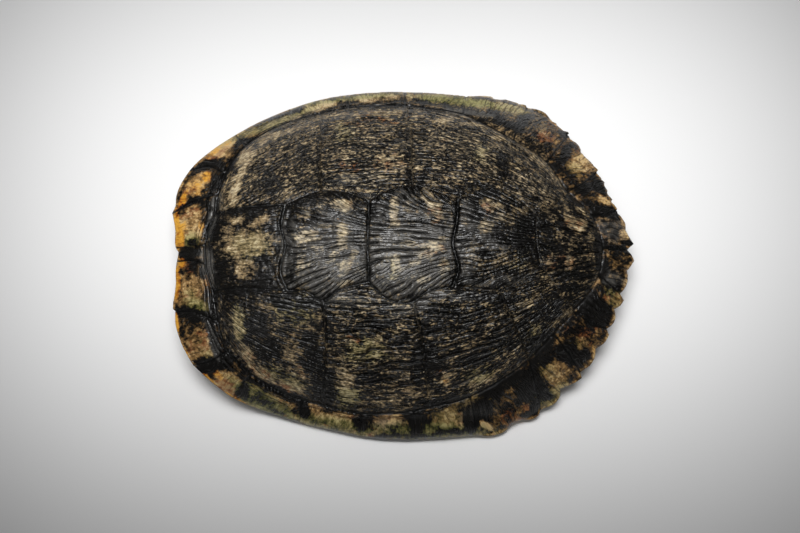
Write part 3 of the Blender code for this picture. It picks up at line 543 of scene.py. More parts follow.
# How much tan shows in the plain horn of a scute. The rest have the usual share.
PLAIN_TAN = {
    1: 0.20, 2: 0.12, 3: 0.15, 4: 0.16, 5: 0.26,
    10: 0.44, 11: 0.36, 12: 0.38, 13: 0.28,
    20: 0.24, 21: 0.27, 22: 0.16, 23: 0.08,
}
USUAL_PLAIN_TAN = 0.34
# Share of their strength that the tan marks have, and how much less of it on the marginals.
TAN_SHARE = 0.85
MARGINAL_TAN_LOSS = 0.05
# How much tan the worn edge adds, its width, and over what width it fades.
WORN_TAN = 0.50
WORN_WIDTH = 2.0
WORN_FADE = 1.6

# Tones of the marks on the horn besides those that are settings: the darker, usual and lightest
# tones at the edge of the shell and where other marks or stains lie over them. The greyish tones
# carry worn horn together with a painted sheen of the soft box.
EDGE_BROWN = (0.075, 0.042, 0.014, 1.0)
GREY_AND_SHEEN_BROWN = (0.105, 0.095, 0.075, 1.0)
OLIVE_BROWN = (0.060, 0.062, 0.014, 1.0)
RUST_BROWN = (0.095, 0.032, 0.010, 1.0)
AMBER_BROWN = (0.30, 0.085, 0.008, 1.0)
EDGE_TAN = (0.27, 0.155, 0.055, 1.0)
GREY_AND_SHEEN_TAN = (0.36, 0.32, 0.245, 1.0)
COOL_TAN = (0.19, 0.18, 0.155, 1.0)
WARM_TAN = (0.20, 0.120, 0.058, 1.0)
EDGE_LIGHT = (0.60, 0.42, 0.20, 1.0)
OLIVE_LIGHT = (0.31, 0.29, 0.115, 1.0)
RUST_LIGHT = (0.36, 0.20, 0.095, 1.0)
AMBER_LIGHT = (0.66, 0.33, 0.04, 1.0)
# Painted shade, partly dark dirt, in the cracks between the folds, and painted shade in the seam
# grooves.
CRACK_DIRT_AND_SHADE = (0.0010, 0.0010, 0.0008, 1.0)
HORN_IOR = 1.42
BONE_SHADE = (0.50, 0.38, 0.22, 1.0)
BONE_PORE = (0.26, 0.18, 0.10, 1.0)
BONE_JOINT = (0.14, 0.085, 0.04, 1.0)

# The table, and the soft boxes as (size, spread in degrees, place, aim), all in metres.
TABLE_HALF_WIDTH = 3.0
TABLE_DROP = 0.0001
SOFT_BOX = ((0.43, 0.24), 43.0, (-0.02, 0.095, 0.50), (0.003, 0.039, 0.0))
LOW_SOFT_BOX = ((0.35, 0.25), 50.0, (-0.06, -0.24, 0.42), (0.0, -0.03, 0.0))


def smooth_step(t):
    """0 below 0, 1 above 1 and an S between them."""
    t = np.clip(t, 0.0, 1.0)
    return t * t * (3.0 - 2.0 * t)


def ramp(value, start, length):
    """0 up to the start, 1 from the length past it on, and an S between them."""
    return smooth_step((value - start) / length)


def hump(away, half_width):
    """1 where away is 0, falling to 0 on both sides of it."""
    return np.exp(-((away / half_width) ** 2))


def smooth_path(points, step):
    """A smooth curve through the points, sampled about every step, that keeps the points."""
    points = np.array(points, float)
    chord = np.maximum(np.linalg.norm(np.diff(points, axis=0), axis=1), 1e-6)
    slope = np.diff(points, axis=0) / chord[:, None]
    inner = slope[:-1] * chord[1:, None] + slope[1:] * chord[:-1, None]
    inner /= (chord[:-1] + chord[1:])[:, None]
    tangent = np.vstack([slope[:1], inner, slope[-1:]])
    path = [points[0]]
    for i, length in enumerate(chord):
        count = max(1, round(length / step))
        for t in np.arange(1, count + 1) / count:
            h00 = 2 * t**3 - 3 * t**2 + 1
            h10 = t**3 - 2 * t**2 + t
            h01 = 3 * t**2 - 2 * t**3
            h11 = t**3 - t**2
            path.append(
                h00 * points[i] + h01 * points[i + 1]
                + length * (h10 * tangent[i] + h11 * tangent[i + 1])
            )
    return np.array(path)


def rim_outline(step):
    """The toothed edge as a closed ring of points, without the repeat of the first."""
    ring = []
    start = RIM_LOBES[-1][-1]
    for lobe in RIM_LOBES:
        ring.extend(smooth_path((start,) + lobe, step)[1:])
        start = lobe[-1]
    return np.array(ring)


def chipped(rim):
    """Wears small chips into the edge between the teeth, behind the middle on the right."""
    angle, radius = polar(rim)
    chips = rough_noise(angle * CHIP_RADIUS / CHIP_GAP, np.zeros(len(rim)), 2, 301)
    depth = CHIP_DEPTH * ramp(chips, *CHIP_NOISE)
    depth *= ramp(rim[:, 0], CHIP_START, CHIP_RUN_IN)
    depth *= ramp(rim[:, 1], CHIP_SIDE, CHIP_RUN_IN)
    for lobe in RIM_LOBES:
        depth *= smooth_step(np.hypot(*(rim - lobe[-1]).T) / CHIP_GAP)
    return rim * (1.0 - depth / radius)[:, None]


def polar(points):
    """(angle, radius) of each point."""
    return np.arctan2(points[:, 1], points[:, 0]), np.hypot(points[:, 0], points[:, 1])


def dome_edge():
    """Radius of the dome's own edge against the angle: the rim with its teeth averaged out."""
    angles = np.linspace(-math.pi, math.pi, 720, endpoint=False)
    rim_angle, rim_radius = polar(rim_outline(0.5))
    order = np.argsort(rim_angle)
    radius = np.interp(angles, rim_angle[order], rim_radius[order], period=2 * math.pi)
    turn = np.degrees(angles + math.pi)
    weight = np.exp(-0.5 * (np.minimum(turn, 360.0 - turn) / SMOOTHING_ANGLE) ** 2)
    spectrum = np.fft.fft(radius) * np.fft.fft(weight / weight.sum())
    return angles, np.real(np.fft.ifft(spectrum))


EDGE_ANGLES, EDGE_RADII = dome_edge()


def edge_share(x, y):
    """(share of the way from the middle to the dome's edge, x of that edge, its radius)."""
    angle = np.arctan2(y, x)
    radius = np.interp(angle, EDGE_ANGLES, EDGE_RADII, period=2 * math.pi)
    return np.hypot(x, y) / radius, radius * np.cos(angle), radius


def end_share(x):
    """0 along the bridge and 1 at the head and tail ends."""
    return ramp(np.abs(x), BRIDGE_HALF_LENGTH, RIM_RISE_LENGTH)


def dome(x, y):
    """Height of the plain dome, with no seams on it."""
    share, edge_x, radius = edge_share(x, y)
    end = end_share(edge_x)
    crest = DOME_HEIGHT - SCUTE_CROWN
    rim = np.where(edge_x < 0, FRONT_RIM_HEIGHT, REAR_RIM_HEIGHT) * end
    power = SIDE_FULLNESS + (END_FULLNESS - SIDE_FULLNESS) * end
    cut = SIDE_CUT_OFF + (END_CUT_OFF - SIDE_CUT_OFF) * end
    lowest = (1.0 - cut**2) ** power
    round_off = (1.0 - (cut * np.minimum(share, 1.0)) ** 2) ** power
    rise = (round_off - lowest) / (1.0 - lowest)
    past_edge = np.maximum(share - 1.0, 0.0) * radius
    return rim + (crest - rim) * rise - RIM_FLARE_SLOPE * past_edge * end


def edge_lift(x, y, from_rim):
    """How far the rounded edge of the horn over the bridge lifts the surface near it."""
    _, edge_x, _ = edge_share(x, y)
    low = np.where(edge_x < 0, FRONT_RIM_HEIGHT, REAR_RIM_HEIGHT) * end_share(edge_x)
    lift = np.cbrt(low**3 + BRIDGE_EDGE_HEIGHT**3) - low
    return lift * (1.0 - smooth_step(from_rim / BRIDGE_EDGE_REACH))


def rim_heights(rim):
    """Height of the horn surface at the edge, and of the lower corner of the edge."""
    top = np.maximum(dome(rim[:, 0], rim[:, 1]), 0.0)
    top *= ramp(np.abs(rim[:, 0]), BRIDGE_HALF_LENGTH, BRIDGE_RUN_OUT)
    return top, np.maximum(top - RIM_EDGE_THICKNESS, 0.0)


def on_shell(px, py):
    """Plan place on the dome that the camera sees at a place in the picture."""
    px = np.asarray(px, float)
    sine, cosine = math.sin(CAMERA_ELEVATION), math.cos(CAMERA_ELEVATION)
    across, down = px - PICTURE_MIDDLE[0], PICTURE_MIDDLE[1] - np.asarray(py, float)
    right = across * math.cos(CAMERA_ROLL) + down * math.sin(CAMERA_ROLL)
    up = down * math.cos(CAMERA_ROLL) - across * math.sin(CAMERA_ROLL)
    height = np.full(px.shape, DOME_HEIGHT / 2)
    # The place and its height are worked out from each other until both settle.
    for _ in range(12):
        away = CAMERA_DISTANCE - height * sine
        y = (up * away / FOCAL - height * cosine) / (sine - up * cosine / FOCAL)
        x = CAMERA_AIM[0] + right * (away + y * cosine) / FOCAL
        y = y + CAMERA_AIM[1]
        height = np.maximum(dome(x, y), 0.0)
    return np.stack([x, y], axis=-1)


def distance(x, y, path, reach=1000.0):
    """Distance from each place to a path. Past the reach it is only known to be more."""
    away = np.full(len(x), reach * 2.0)
    low, high = path.min(0) - reach, path.max(0) + reach
    near = np.nonzero((x > low[0]) & (x < high[0]) & (y > low[1]) & (y < high[1]))[0]
    start, along = path[:-1], path[1:] - path[:-1]
    length = np.maximum((along**2).sum(1), 1e-9)
    for chunk in np.array_split(near, len(near) * len(start) // 2000000 + 1):
        dx = x[chunk][:, None] - start[None, :, 0]
        dy = y[chunk][:, None] - start[None, :, 1]
        t = np.clip((dx * along[:, 0] + dy * along[:, 1]) / length, 0.0, 1.0)
        dx -= t * along[:, 0]
        dy -= t * along[:, 1]
        away[chunk] = np.sqrt((dx * dx + dy * dy).min(1))
    return away


def inside(x, y, corners):
    """Whether each place lies in the polygon."""
    within = np.zeros(len(x), bool)
    for (x0, y0), (x1, y1) in zip(corners, np.roll(corners, -1, axis=0)):
        if y0 != y1:
            within ^= ((y0 > y) != (y1 > y)) & (x < (x1 - x0) * (y - y0) / (y1 - y0) + x0)
    return within


def cell_value(column, row, seed):
    """A fixed value from 0 to 1 for each cell of a lattice, mixed from its place by primes."""
    mixed = (column * 73856093) ^ (row * 19349663) ^ (seed * 83492791)
    mixed = (mixed ^ (mixed >> 13)) * 1274126177 & 0xFFFFFFFF
    mixed = (mixed ^ (mixed >> 15)) * 668265263 & 0xFFFFFFFF
    return ((mixed ^ (mixed >> 16)) & 0xFFFF) / 65535.0


def noise(u, v, seed=0):
    """Smooth noise from 0 to 1 with cells of size 1. Each use of it has a seed of its own."""
    column, row = np.floor(u).astype(np.int64), np.floor(v).astype(np.int64)
    s, t = u - column, v - row
    s = s * s * s * (s * (s * 6 - 15) + 10)
    t = t * t * t * (t * (t * 6 - 15) + 10)
    near = cell_value(column, row, seed) * (1 - s) + cell_value(column + 1, row, seed) * s
    far = cell_value(column, row + 1, seed) * (1 - s) + cell_value(column + 1, row + 1, seed) * s
    return near * (1 - t) + far * t


def rough_noise(u, v, octaves=3, seed=0):
    """Noise from 0 to 1 with finer noise, shifted along, added at half the strength each time."""
    total, weight = np.zeros(len(u)), 0.0
    for octave in range(octaves):
        share = 0.5**octave
        total += share * noise(u * 2**octave + 17.3 * octave, v * 2**octave, seed + octave)
        weight += share
    return total / weight


class Ground:
    """What the places of a sheet have in common: scutes, distances and grain."""

    def __init__(self, plan, rim):
        self.x, self.y = plan[:, 0].copy(), plan[:, 1].copy()
        self.angle = np.arctan2(self.y, self.x)
        closed_rim = np.vstack([rim, rim[:1]])
        self.from_rim = distance(self.x, self.y, closed_rim[::2])
        ring = smooth_path(RING[1], 1.0)
        within = inside(self.x, self.y, ring[:-1])
        self.from_ring = distance(self.x, self.y, ring) * np.where(within, -1.0, 1.0)
        self.seam, self.groove = self.seams()
        self.vertebral = self.vertebrals(within)
        self.costal = within & (self.vertebral == 0)
        self.marginal = ~within
        self.scute = self.scutes()
        self.collar = self.beside_ring()
        self.along, self.across = self.grain()
        usual = np.where(self.costal, FLECKED_COSTALS, FLECKED_VERTEBRALS * within)
        self.flecked = self.spread(usual, FLECKED)
        side = self.marginal & (self.y > 0.0) & (np.abs(self.x) < SIDE_MARGINALS)
        self.flecked[side] = FLECKED_SIDE

    def spread(self, usual, table):
        """A value for each place: that of its scute in the table, or else the usual one."""
        values = np.zeros(len(self.x)) + usual
        for number, value in table.items():
            values[self.scute == number] = value
        return values

    def seams(self):
        """Distance to the nearest seam, and the depth of the seams' grooves."""
        nearest = np.full(len(self.x), 2.0 * SEAM_REACH)
        groove = np.zeros(len(self.x))
        wander = noise(self.x / WANDER_LENGTH, self.y / WANDER_LENGTH, 5)
        wander = SEAM_WANDER * (wander - 0.5)
        for depth, points in SEAMS:
            path = smooth_path(points, 1.2)
            away = distance(self.x + wander, self.y - wander, path, SEAM_REACH)
            nearest = np.minimum(nearest, away)
            if points is RING[1]:
                depth = depth * (1.0 - RING_LOSS * ramp(self.x, *RING_LOSS_START))
            cut = sum(share * hump(away, half_width) for share, half_width in GROOVE)
            groove = np.maximum(groove, depth * cut)
        return nearest, groove

    def vertebrals(self, within):
        """The number of the vertebral scute that each place lies in, or 0."""
        number = np.zeros(len(self.x), int)
        paths = {name: smooth_path(points, 1.5) for name, (_, points) in VERTEBRAL_SEAMS.items()}
        paths["5 rear"] = np.array([(PAST_END, 40.0), (PAST_END, -40.0)])
        front = [(-PAST_END, -18.7), (-PAST_END, 17.8)]
        for i in range(1, 6):
            rear = paths[f"{i} rear"]
            corners = np.vstack([front, paths[f"{i} right"], rear, paths[f"{i} left"][::-1]])
            number[within & inside(self.x, self.y, corners)] = i
            front = rear[::-1]
        return number

    def scutes(self):
        """A number for each scute: vertebrals, then costals, then marginals."""
        number = self.vertebral.copy()
        for side, first in (("right", 10), ("left", 20)):
            here = self.costal & ((self.y > 0) == (side == "right"))
            place = np.full(len(self.x), first)
            for seam in ("1 to 2", "2 to 3", "3 to 4"):
                path = smooth_path(COSTAL_SEAMS[f"{seam} {side}"][1], 1.5)
                order = np.argsort(path[:, 1])
                place += self.x > np.interp(self.y, path[order, 1], path[order, 0])
            number[here] = place[here]
        spokes = [smooth_path(points, 2.0) for _, points in MARGINAL_SEAMS]
        for i, spoke in enumerate(spokes):
            after = spokes[(i + 1) % len(spokes)]
            wedge = np.vstack([[(0.0, 0.0)], spoke[::-1], [spoke[0] * 1.5], [after[0] * 1.5], after])
            number[self.marginal & inside(self.x, self.y, wedge)] = 30 + i
        return number

    def beside_ring(self):
        """Whether each place lies in the fine lines that follow the ring seam."""
        neck = np.abs(self.angle) > COLLAR_TURN
        outer, inner = np.where(neck, *COLLAR_OUTSIDE), np.where(neck, *COLLAR_INSIDE)
        ragged = COLLAR_RAGGED * (noise(self.angle * 14.0, 0.0 * self.x, 7) - 0.5)
        away = self.from_ring + ragged
        return (away < outer) & (away > -inner) & (np.abs(self.angle) > COLLAR_END)

    def grain(self):
        """Measures along and across the wrinkles."""
        x, y = self.x, self.y
        # Over the costals they run lengthwise and draw together towards both ends.
        share = x / GRAIN_HALF_LENGTH
        rear = np.maximum(1.0 - np.clip(share, 0, 1) ** 2, 0.02) ** 0.9
        front = np.maximum(1.0 - np.clip(-share, 0, 1) ** 2.8, 0.02) ** 0.55
        along, across = x.copy(), y * 0.88 / np.where(x > 0, rear, front)
        # On vertebrals 2 to 5 they fan out, on vertebral 1 they are straight and short, and on the
        # right front costal they slant.
        for number, (fan_x, fan_y) in FANS.items():
            here = self.vertebral == number
            spread = np.arcsinh((fan_x - x[here] + 1j * (y[here] - fan_y)) / FAN_HEART)
            along[here] = -FAN_HEART * np.sinh(spread.real)
            across[here] = spread.imag * FAN_RADIUS
        here = self.vertebral == 1
        along[here], across[here] = x[here] * 1.6, y[here]
        here = self.scute == 10
        along[here] = x[here] * math.cos(SLANT) + y[here] * math.sin(SLANT)
        across[here] = y[here] * math.cos(SLANT) - x[here] * math.sin(SLANT)
        # On the marginals they run outwards.
        here = self.marginal
        along[here], across[here] = np.hypot(x, y)[here] * 2.0, self.angle[here] * 75.0
        # Each scute has its own shift, so that no wrinkle runs on across a seam.
        shift = self.scute * 7.31
        along, across = along + shift, across + 3.7 * shift
        here = self.collar
        along[here], across[here] = self.angle[here] * 80.0, self.from_ring[here] * 1.25 + 300.0
        return along, across


class Folds:
    """Long ridges side by side that run with the grain, and finer ones on them."""

    def __init__(self, ground, width, seed):
        along, across = ground.along, ground.across
        widths = width * ground.spread(1.0, FOLD_WIDTHS)
        # The ridges bend slowly, and in places they sink and the cracks between them close.
        bend = 1.7 * noise(along / 19.0, across / 9.0, seed)
        bend += 0.5 * noise(along / 7.0, across / 4.0, seed + 1)
        self.turn = across / widths + bend
        self.finer = 2.3 * self.turn + 1.5 * noise(along / 5.0, across / 1.6, seed + 3)
        shallow = noise(along / 8.0, across / 2.6, seed + 2)
        self.lift = 0.9 * ramp(shallow, 0.40, 0.4)
        self.strength = fold_strength(ground)

    def crest(self):
        """From 0 in the cracks between the ridges to 1 on their backs."""
        coarse = 1.35 * np.abs(np.sin(math.pi * self.turn)) + self.lift
        fine = 0.55 + 0.9 * np.abs(np.sin(math.pi * self.finer))
        return smooth_step(np.minimum(coarse, fine))


def fold_strength(ground):
    """Depth of the folds at each place against the wrinkle depth setting."""
    x, y, beside = ground.x, ground.y, np.abs(ground.from_ring)
    strength = ground.spread(USUAL_FOLD_DEPTH, FOLD_DEPTHS)
    strength[(ground.vertebral == 2) & (y > 0.0)] *= CALM_SHARE
    marginal = np.where(x > REAR_MARGINALS, *MARGINAL_FOLD_DEPTHS)
    strength = np.where(ground.marginal, marginal, strength)
    flank = ramp(-y, *FLANK_SIDE) * ramp(x, *FLANK_FRONT)
    strength += FLANK_EXTRA_DEPTH * ground.costal * flank
    strength[ground.costal & (x < FRONT_COSTALS)] *= CALM_SHARE
    strength = np.where(ground.collar, np.where(x > REAR_COLLAR, *COLLAR_FOLD_DEPTHS), strength)
    reach = np.where(ground.from_ring > 0.0, *RING_FADE)
    strength *= 1.0 - ramp(x, *RING_FADE_START) * (1.0 - ramp(beside, SEAM_CLEARANCE, reach))
    return strength * ramp(ground.seam, SEAM_CLEARANCE, SEAM_FADE)


def line_relief(ground):
    """Raised lines along the ring seam and the lips of single scutes."""
    height = np.zeros(len(ground.x))
    angle = np.degrees(ground.angle) % 360.0
    for offset, rise, width, first, last in RING_RIDGES:
        reach = ramp(angle, first, RIDGE_FADE) * smooth_step((last - angle) / RIDGE_FADE)
        wander = 0.5 * (noise(angle / 4.0, np.full(len(angle), offset), 3) - 0.5)
        height += rise * reach * hump(ground.from_ring - offset + wander, width)
    for rise, width, points in LIPS:
        path = smooth_path(on_shell(*np.array(points, float).T), 1.0)
        away = distance(ground.x, ground.y, path, 3.0 * width)
        height += rise * hump(away, width)
    return height


def horn_height(ground, wrinkle_depth, wrinkle_gap):
    """(height of the horn surface, the folds in it)."""
    x, y = ground.x, ground.y
    height = dome(x, y)
    keel = hump(y, KEEL_HALF_WIDTH) * ramp(x, KEEL_START, KEEL_RUN_IN)
    height += KEEL_HEIGHT * keel
    height -= TROUGH_DEPTH * hump(ground.from_ring, TROUGH_REACH)
    height += SCUTE_CROWN * CROWN_LEFT * (1.0 - hump(ground.seam, SCUTE_CROWN_REACH))
    height += line_relief(ground) - ground.groove
    folds = Folds(ground, wrinkle_gap, 11)
    edge = smooth_step(ground.from_rim / FOLD_RIM_FADE)
    height -= wrinkle_depth * folds.strength * (1.0 - folds.crest()) * edge
    pits = ramp(rough_noise(x / PIT_LENGTH, y / PIT_LENGTH, 2, 31), *PIT_NOISE)
    height -= PIT_DEPTH * pits * edge * np.where(ground.marginal, MARGINAL_PITS, 1.0)
    swell = rough_noise(x / SWELL_LENGTH, y / SWELL_LENGTH, 2, 41)
    height -= SWELL_DEPTH * swell * smooth_step(ground.from_rim / SWELL_RIM_FADE)
    return height, folds


def under_height(ground):
    """Height of the bony underside, with the backbone and the ribs standing down from it."""
    x, y = ground.x, ground.y
    slope_x = (dome(x + SLOPE_STEP, y) - dome(x - SLOPE_STEP, y)) / (2 * SLOPE_STEP)
    slope_y = (dome(x, y + SLOPE_STEP) - dome(x, y - SLOPE_STEP)) / (2 * SLOPE_STEP)
    upright = np.sqrt(1.0 + slope_x**2 + slope_y**2)
    end = end_share(edge_share(x, y)[1])
    bulge = hump(ground.from_rim - RIM_BONE_DISTANCE, RIM_BONE_SPREAD)
    body = BONE_THICKNESS + (RIM_BONE_THICKNESS - BONE_THICKNESS) * bulge * end
    thickness = RIM_EDGE_THICKNESS + (body - RIM_EDGE_THICKNESS) * smooth_step(
        ground.from_rim / RIM_EDGE_REACH)
    height = dome(x, y) - thickness * np.minimum(upright, STEEPEST_THICKENING)
    reach = ramp(x, SPINE_FRONT, SPINE_RUN_OUT)
    reach *= smooth_step((SPINE_REAR - x) / SPINE_RUN_OUT)
    waist = SPINE_WAIST * np.cos((x - RIB_STATIONS[0]) * 2 * math.pi / RIB_SPACING)
    flank = (SPINE_FOOT_HALF_WIDTH + waist - np.abs(y)) / (SPINE_FOOT_HALF_WIDTH - SPINE_HALF_WIDTH)
    depth = SPINE_DEPTH - SPINE_SAG + SPINE_SAG * waist
    height -= depth * reach * smooth_step(flank)
    for path in rib_paths():
        away = distance(x, y, path, 3.0 * RIB_HALF_WIDTH)
        height -= RIB_DEPTH * hump(away, RIB_HALF_WIDTH)
    height += JOINT_DEPTH * bone_seams(ground)
    grain = rough_noise(x / BONE_GRAIN_LENGTH, y / BONE_GRAIN_LENGTH, 2, 71)
    height -= BONE_GRAIN_DEPTH * grain - BONE_GRAIN_DEPTH
    return np.maximum(height, 0.0)


def rib_paths():
    """The ribs on the underside, from the backbone out to the edge bones."""
    paths = []
    for station in RIB_STATIONS:
        for side in (1, -1):
            _, _, reach = edge_share(np.array([station]), np.array([side * 70.0]))
            far = RIB_END_SHARE * math.sqrt(max(float(reach[0]) ** 2 - station**2, 0.0))
            near = SPINE_FOOT_HALF_WIDTH
            lean = math.copysign(RIB_SWEEP, station)
            end = (station + lean * (far - near), side * far)
            paths.append(smooth_path(((station, side * near), end), 2.0))
    return paths


def bone_seams(ground):
    """1 in the toothed joints between the bones of the underside and 0 away from them."""
    x, y = ground.x, ground.y
    teeth = JOINT_TEETH * (2.0 * noise(y / 1.3, x / 60.0, 81) - 1.0)
    gap = (x - np.sign(x) * RIB_SWEEP * np.abs(y) + teeth) - RIB_STATIONS[0] + RIB_SPACING / 2
    joint = np.abs((gap / RIB_SPACING + 0.5) % 1.0 - 0.5) * RIB_SPACING
    reach = (np.abs(y) > SPINE_FOOT_HALF_WIDTH) & (ground.from_rim > BONE_RING_WIDTH - 1.0)
    joint = np.where(reach & (np.abs(x) < LAST_JOINT), joint, RIB_SPACING / 2)
    wave = RING_JOINT_WAVE * (2.0 * noise(ground.angle * 50.0, 0.0 * x, 83) - 1.0)
    joint = np.minimum(joint, np.abs(ground.from_rim - BONE_RING_WIDTH + wave))
    return hump(joint, JOINT_HALF_WIDTH)


def mark(ground, marks, seed):
    """How strongly a kind of mark shows at each place, with streaks and blots in its edges."""
    x, y = ground.x, ground.y
    streak = rough_noise(ground.along / 5.5, ground.across / 1.7, 3, seed) - 0.5
    blot = rough_noise(x / 3.2, y / 3.2, 3, seed + 9) - 0.5
    ragged = (streak + blot) * (0.5 + 0.6 * ground.flecked)
    density = np.zeros(len(x))
    scale = (CAMERA_DISTANCE - MARK_HEIGHT) / FOCAL
    table = np.array(marks, float)
    places = on_shell(table[:, 0], table[:, 1])
    for (px, py), (_, _, length, width, turn, strength) in zip(places, table):
        cosine, sine = math.cos(math.radians(turn)), math.sin(math.radians(turn))
        dx, dy = x - px, y - py
        u = (dx * cosine + dy * sine) / (length * scale)
        v = (dy * cosine - dx * sine) / (width * scale)
        away = np.sqrt(u * u + v * v) + ragged
        density = np.maximum(density, strength * smooth_step(MARK_FADE - away))
    return density


def marks_on(ground):
    """The strength of each kind of mark. The tan also shows on the worn edge of the marginals."""
    plain = ground.spread(USUAL_PLAIN_TAN, PLAIN_TAN)
    share = TAN_SHARE - MARGINAL_TAN_LOSS * ground.marginal
    tan = np.maximum(plain, mark(ground, TAN, 101) * share)
    worn = smooth_step((WORN_WIDTH - ground.from_rim) / WORN_FADE) * ground.marginal
    others = (OLIVE, AMBER, RUST, GREY_AND_SHEEN, DARK)
    return [tan + WORN_TAN * worn] + [
        mark(ground, marks, 121 + 20 * i) for i, marks in enumerate(others)]


def plan_of(rim, lines, loose):
    """Triangles that fill the rim and keep the edges of the lines."""
    points = [tuple(p) for p in rim]
    edges = [(i, (i + 1) % len(rim)) for i in range(len(rim))]
    for line in lines:
        first = len(points)
        points.extend(tuple(p) for p in line)
        edges.extend((i, i + 1) for i in range(first, len(points) - 1))
    points.extend(tuple(p) for p in loose)
    flat = [Vector(p) for p in points]
    outline = [list(range(len(rim)))]
    placed, _, faces, _, _, _ = delaunay_2d_cdt(flat, edges, outline, 1, 0.02)
    return np.array([tuple(p) for p in placed]), np.array(faces)


def lattice(rim, gap_x, gap_y, lines, clear):
    """Staggered rows of points inside the rim, clear of it and of the lines."""
    reach = np.abs(rim).max(0)
    rows = np.arange(-math.ceil(reach[1] / gap_y), math.ceil(reach[1] / gap_y) + 1)
    columns = np.arange(-math.ceil(reach[0] / gap_x), math.ceil(reach[0] / gap_x) + 1)
    row, column = np.meshgrid(rows, columns, indexing="ij")
    x = ((column + 0.5 * (row % 2)) * gap_x).ravel()
    y = (row * gap_y).ravel()
    x, y = x[inside(x, y, rim)], y[inside(x, y, rim)]
    taken = np.vstack([rim] + list(lines))
    tree = KDTree(len(taken))
    for i, (px, py) in enumerate(taken):
        tree.insert((px, py, 0.0), i)
    tree.balance()
    free = [tree.find((px, py, 0.0))[2] > clear for px, py in zip(x, y)]
    return np.stack([x, y], axis=1)[free]


def snapped(path, rim, step):
    """The path with an end that meets the rim put on the nearest of the rim's own points."""
    for end in (0, -1):
        away = np.linalg.norm(rim - path[end], axis=1)
        if away.min() < step:
            path[end] = rim[away.argmin()]
    return path


class Value:
    """A value in a material that sums and products can be written with."""

    def __init__(self, paint, socket):
        self.paint, self.socket = paint, socket

    def maths(self, operation, first, second=0.0, third=0.0):
        made = self.paint.node(
            "ShaderNodeMath", {"operation": operation}, {0: first, 1: second, 2: third})
        return Value(self.paint, made.outputs[0])

    def __add__(self, other):
        return self.maths("ADD", self, other)

    def __radd__(self, other):
        return self.maths("ADD", other, self)

    def __sub__(self, other):
        return self.maths("SUBTRACT", self, other)

    def __rsub__(self, other):
        return self.maths("SUBTRACT", other, self)

    def __mul__(self, other):
        return self.maths("MULTIPLY", self, other)

    def __rmul__(self, other):
        return self.maths("MULTIPLY", other, self)

    def least(self, other):
        return self.maths("MINIMUM", self, other)

    def ridge(self):
        """0 at whole numbers and 1 halfway between them."""
        wave = self.maths("SINE", self * math.pi)
        return self.maths("ABSOLUTE", wave)

    def step(self, low, high):
        """0 below low, 1 above high and an S between them."""
        made = self.paint.node(
            "ShaderNodeMapRange", {"interpolation_type": "SMOOTHSTEP"},
            {"Value": self, "From Min": low, "From Max": high})
        return Value(self.paint, made.outputs[0])


class Paint:
    """A material and the nodes that feed its shader."""

    def __init__(self, name):
        self.material = bpy.data.materials.new(name)
        self.material.use_nodes = True
        self.tree = self.material.node_tree
        self.shader = self.tree.nodes["Principled BSDF"]

    def node(self, kind, settings=None, values=None):
        """Adds a node, makes its settings, then gives its sockets their values or links."""
        made = self.tree.nodes.new(kind)
        for name, value in (settings or {}).items():
            setattr(made, name, value)
        for name, value in (values or {}).items():
            self.feed(made.inputs[name], value)
        return made

    def feed(self, socket, value):
        if isinstance(value, Value):
            self.tree.links.new(value.socket, socket)
        elif isinstance(value, bpy.types.NodeSocket):
            self.tree.links.new(value, socket)
        else:
            socket.default_value = value

    def attribute(self, name):
        """The parts of a colour attribute, and its fourth number."""
        found = self.node("ShaderNodeAttribute", {"attribute_name": name})
        parts = self.node("ShaderNodeSeparateColor", None, {"Color": found.outputs["Color"]})
        return [Value(self, parts.outputs[i]) for i in range(3)] + [
            Value(self, found.outputs["Alpha"])]

    def vector(self, name):
        return self.node("ShaderNodeAttribute", {"attribute_name": name}).outputs["Vector"]

    def place(self):
        return self.node("ShaderNodeTexCoord").outputs["Object"]

    def stretched(self, vector, scale):
        made = self.node("ShaderNodeVectorMath", {"operation": "MULTIPLY"}, {0: vector, 1: scale})
        return made.outputs[0]

    def noise(self, vector, scale, detail=3.0, roughness=0.55, distortion=0.0):
        made = self.node("ShaderNodeTexNoise", None, {
            "Vector": vector, "Scale": scale, "Detail": detail, "Roughness": roughness,
            "Distortion": distortion})
        return Value(self, made.outputs["Fac"])

    def mix(self, share, first, second):
        """From the first colour to the second by the share."""
        made = self.node("ShaderNodeMix", {"data_type": "RGBA"}, {0: share, 6: first, 7: second})
        return made.outputs[2]

    def layered(self, colour, *coats):
        """The colour under coats, each given as its share and its own colour."""
        for share, coat in coats:
            colour = self.mix(share, colour, coat)
        return colour

    def bump(self, height, strength, distance, normal=None):
        values = {"Height": height, "Strength": strength, "Distance": distance}
        if normal is not None:
            values["Normal"] = normal
        return self.node("ShaderNodeBump", None, values).outputs["Normal"]


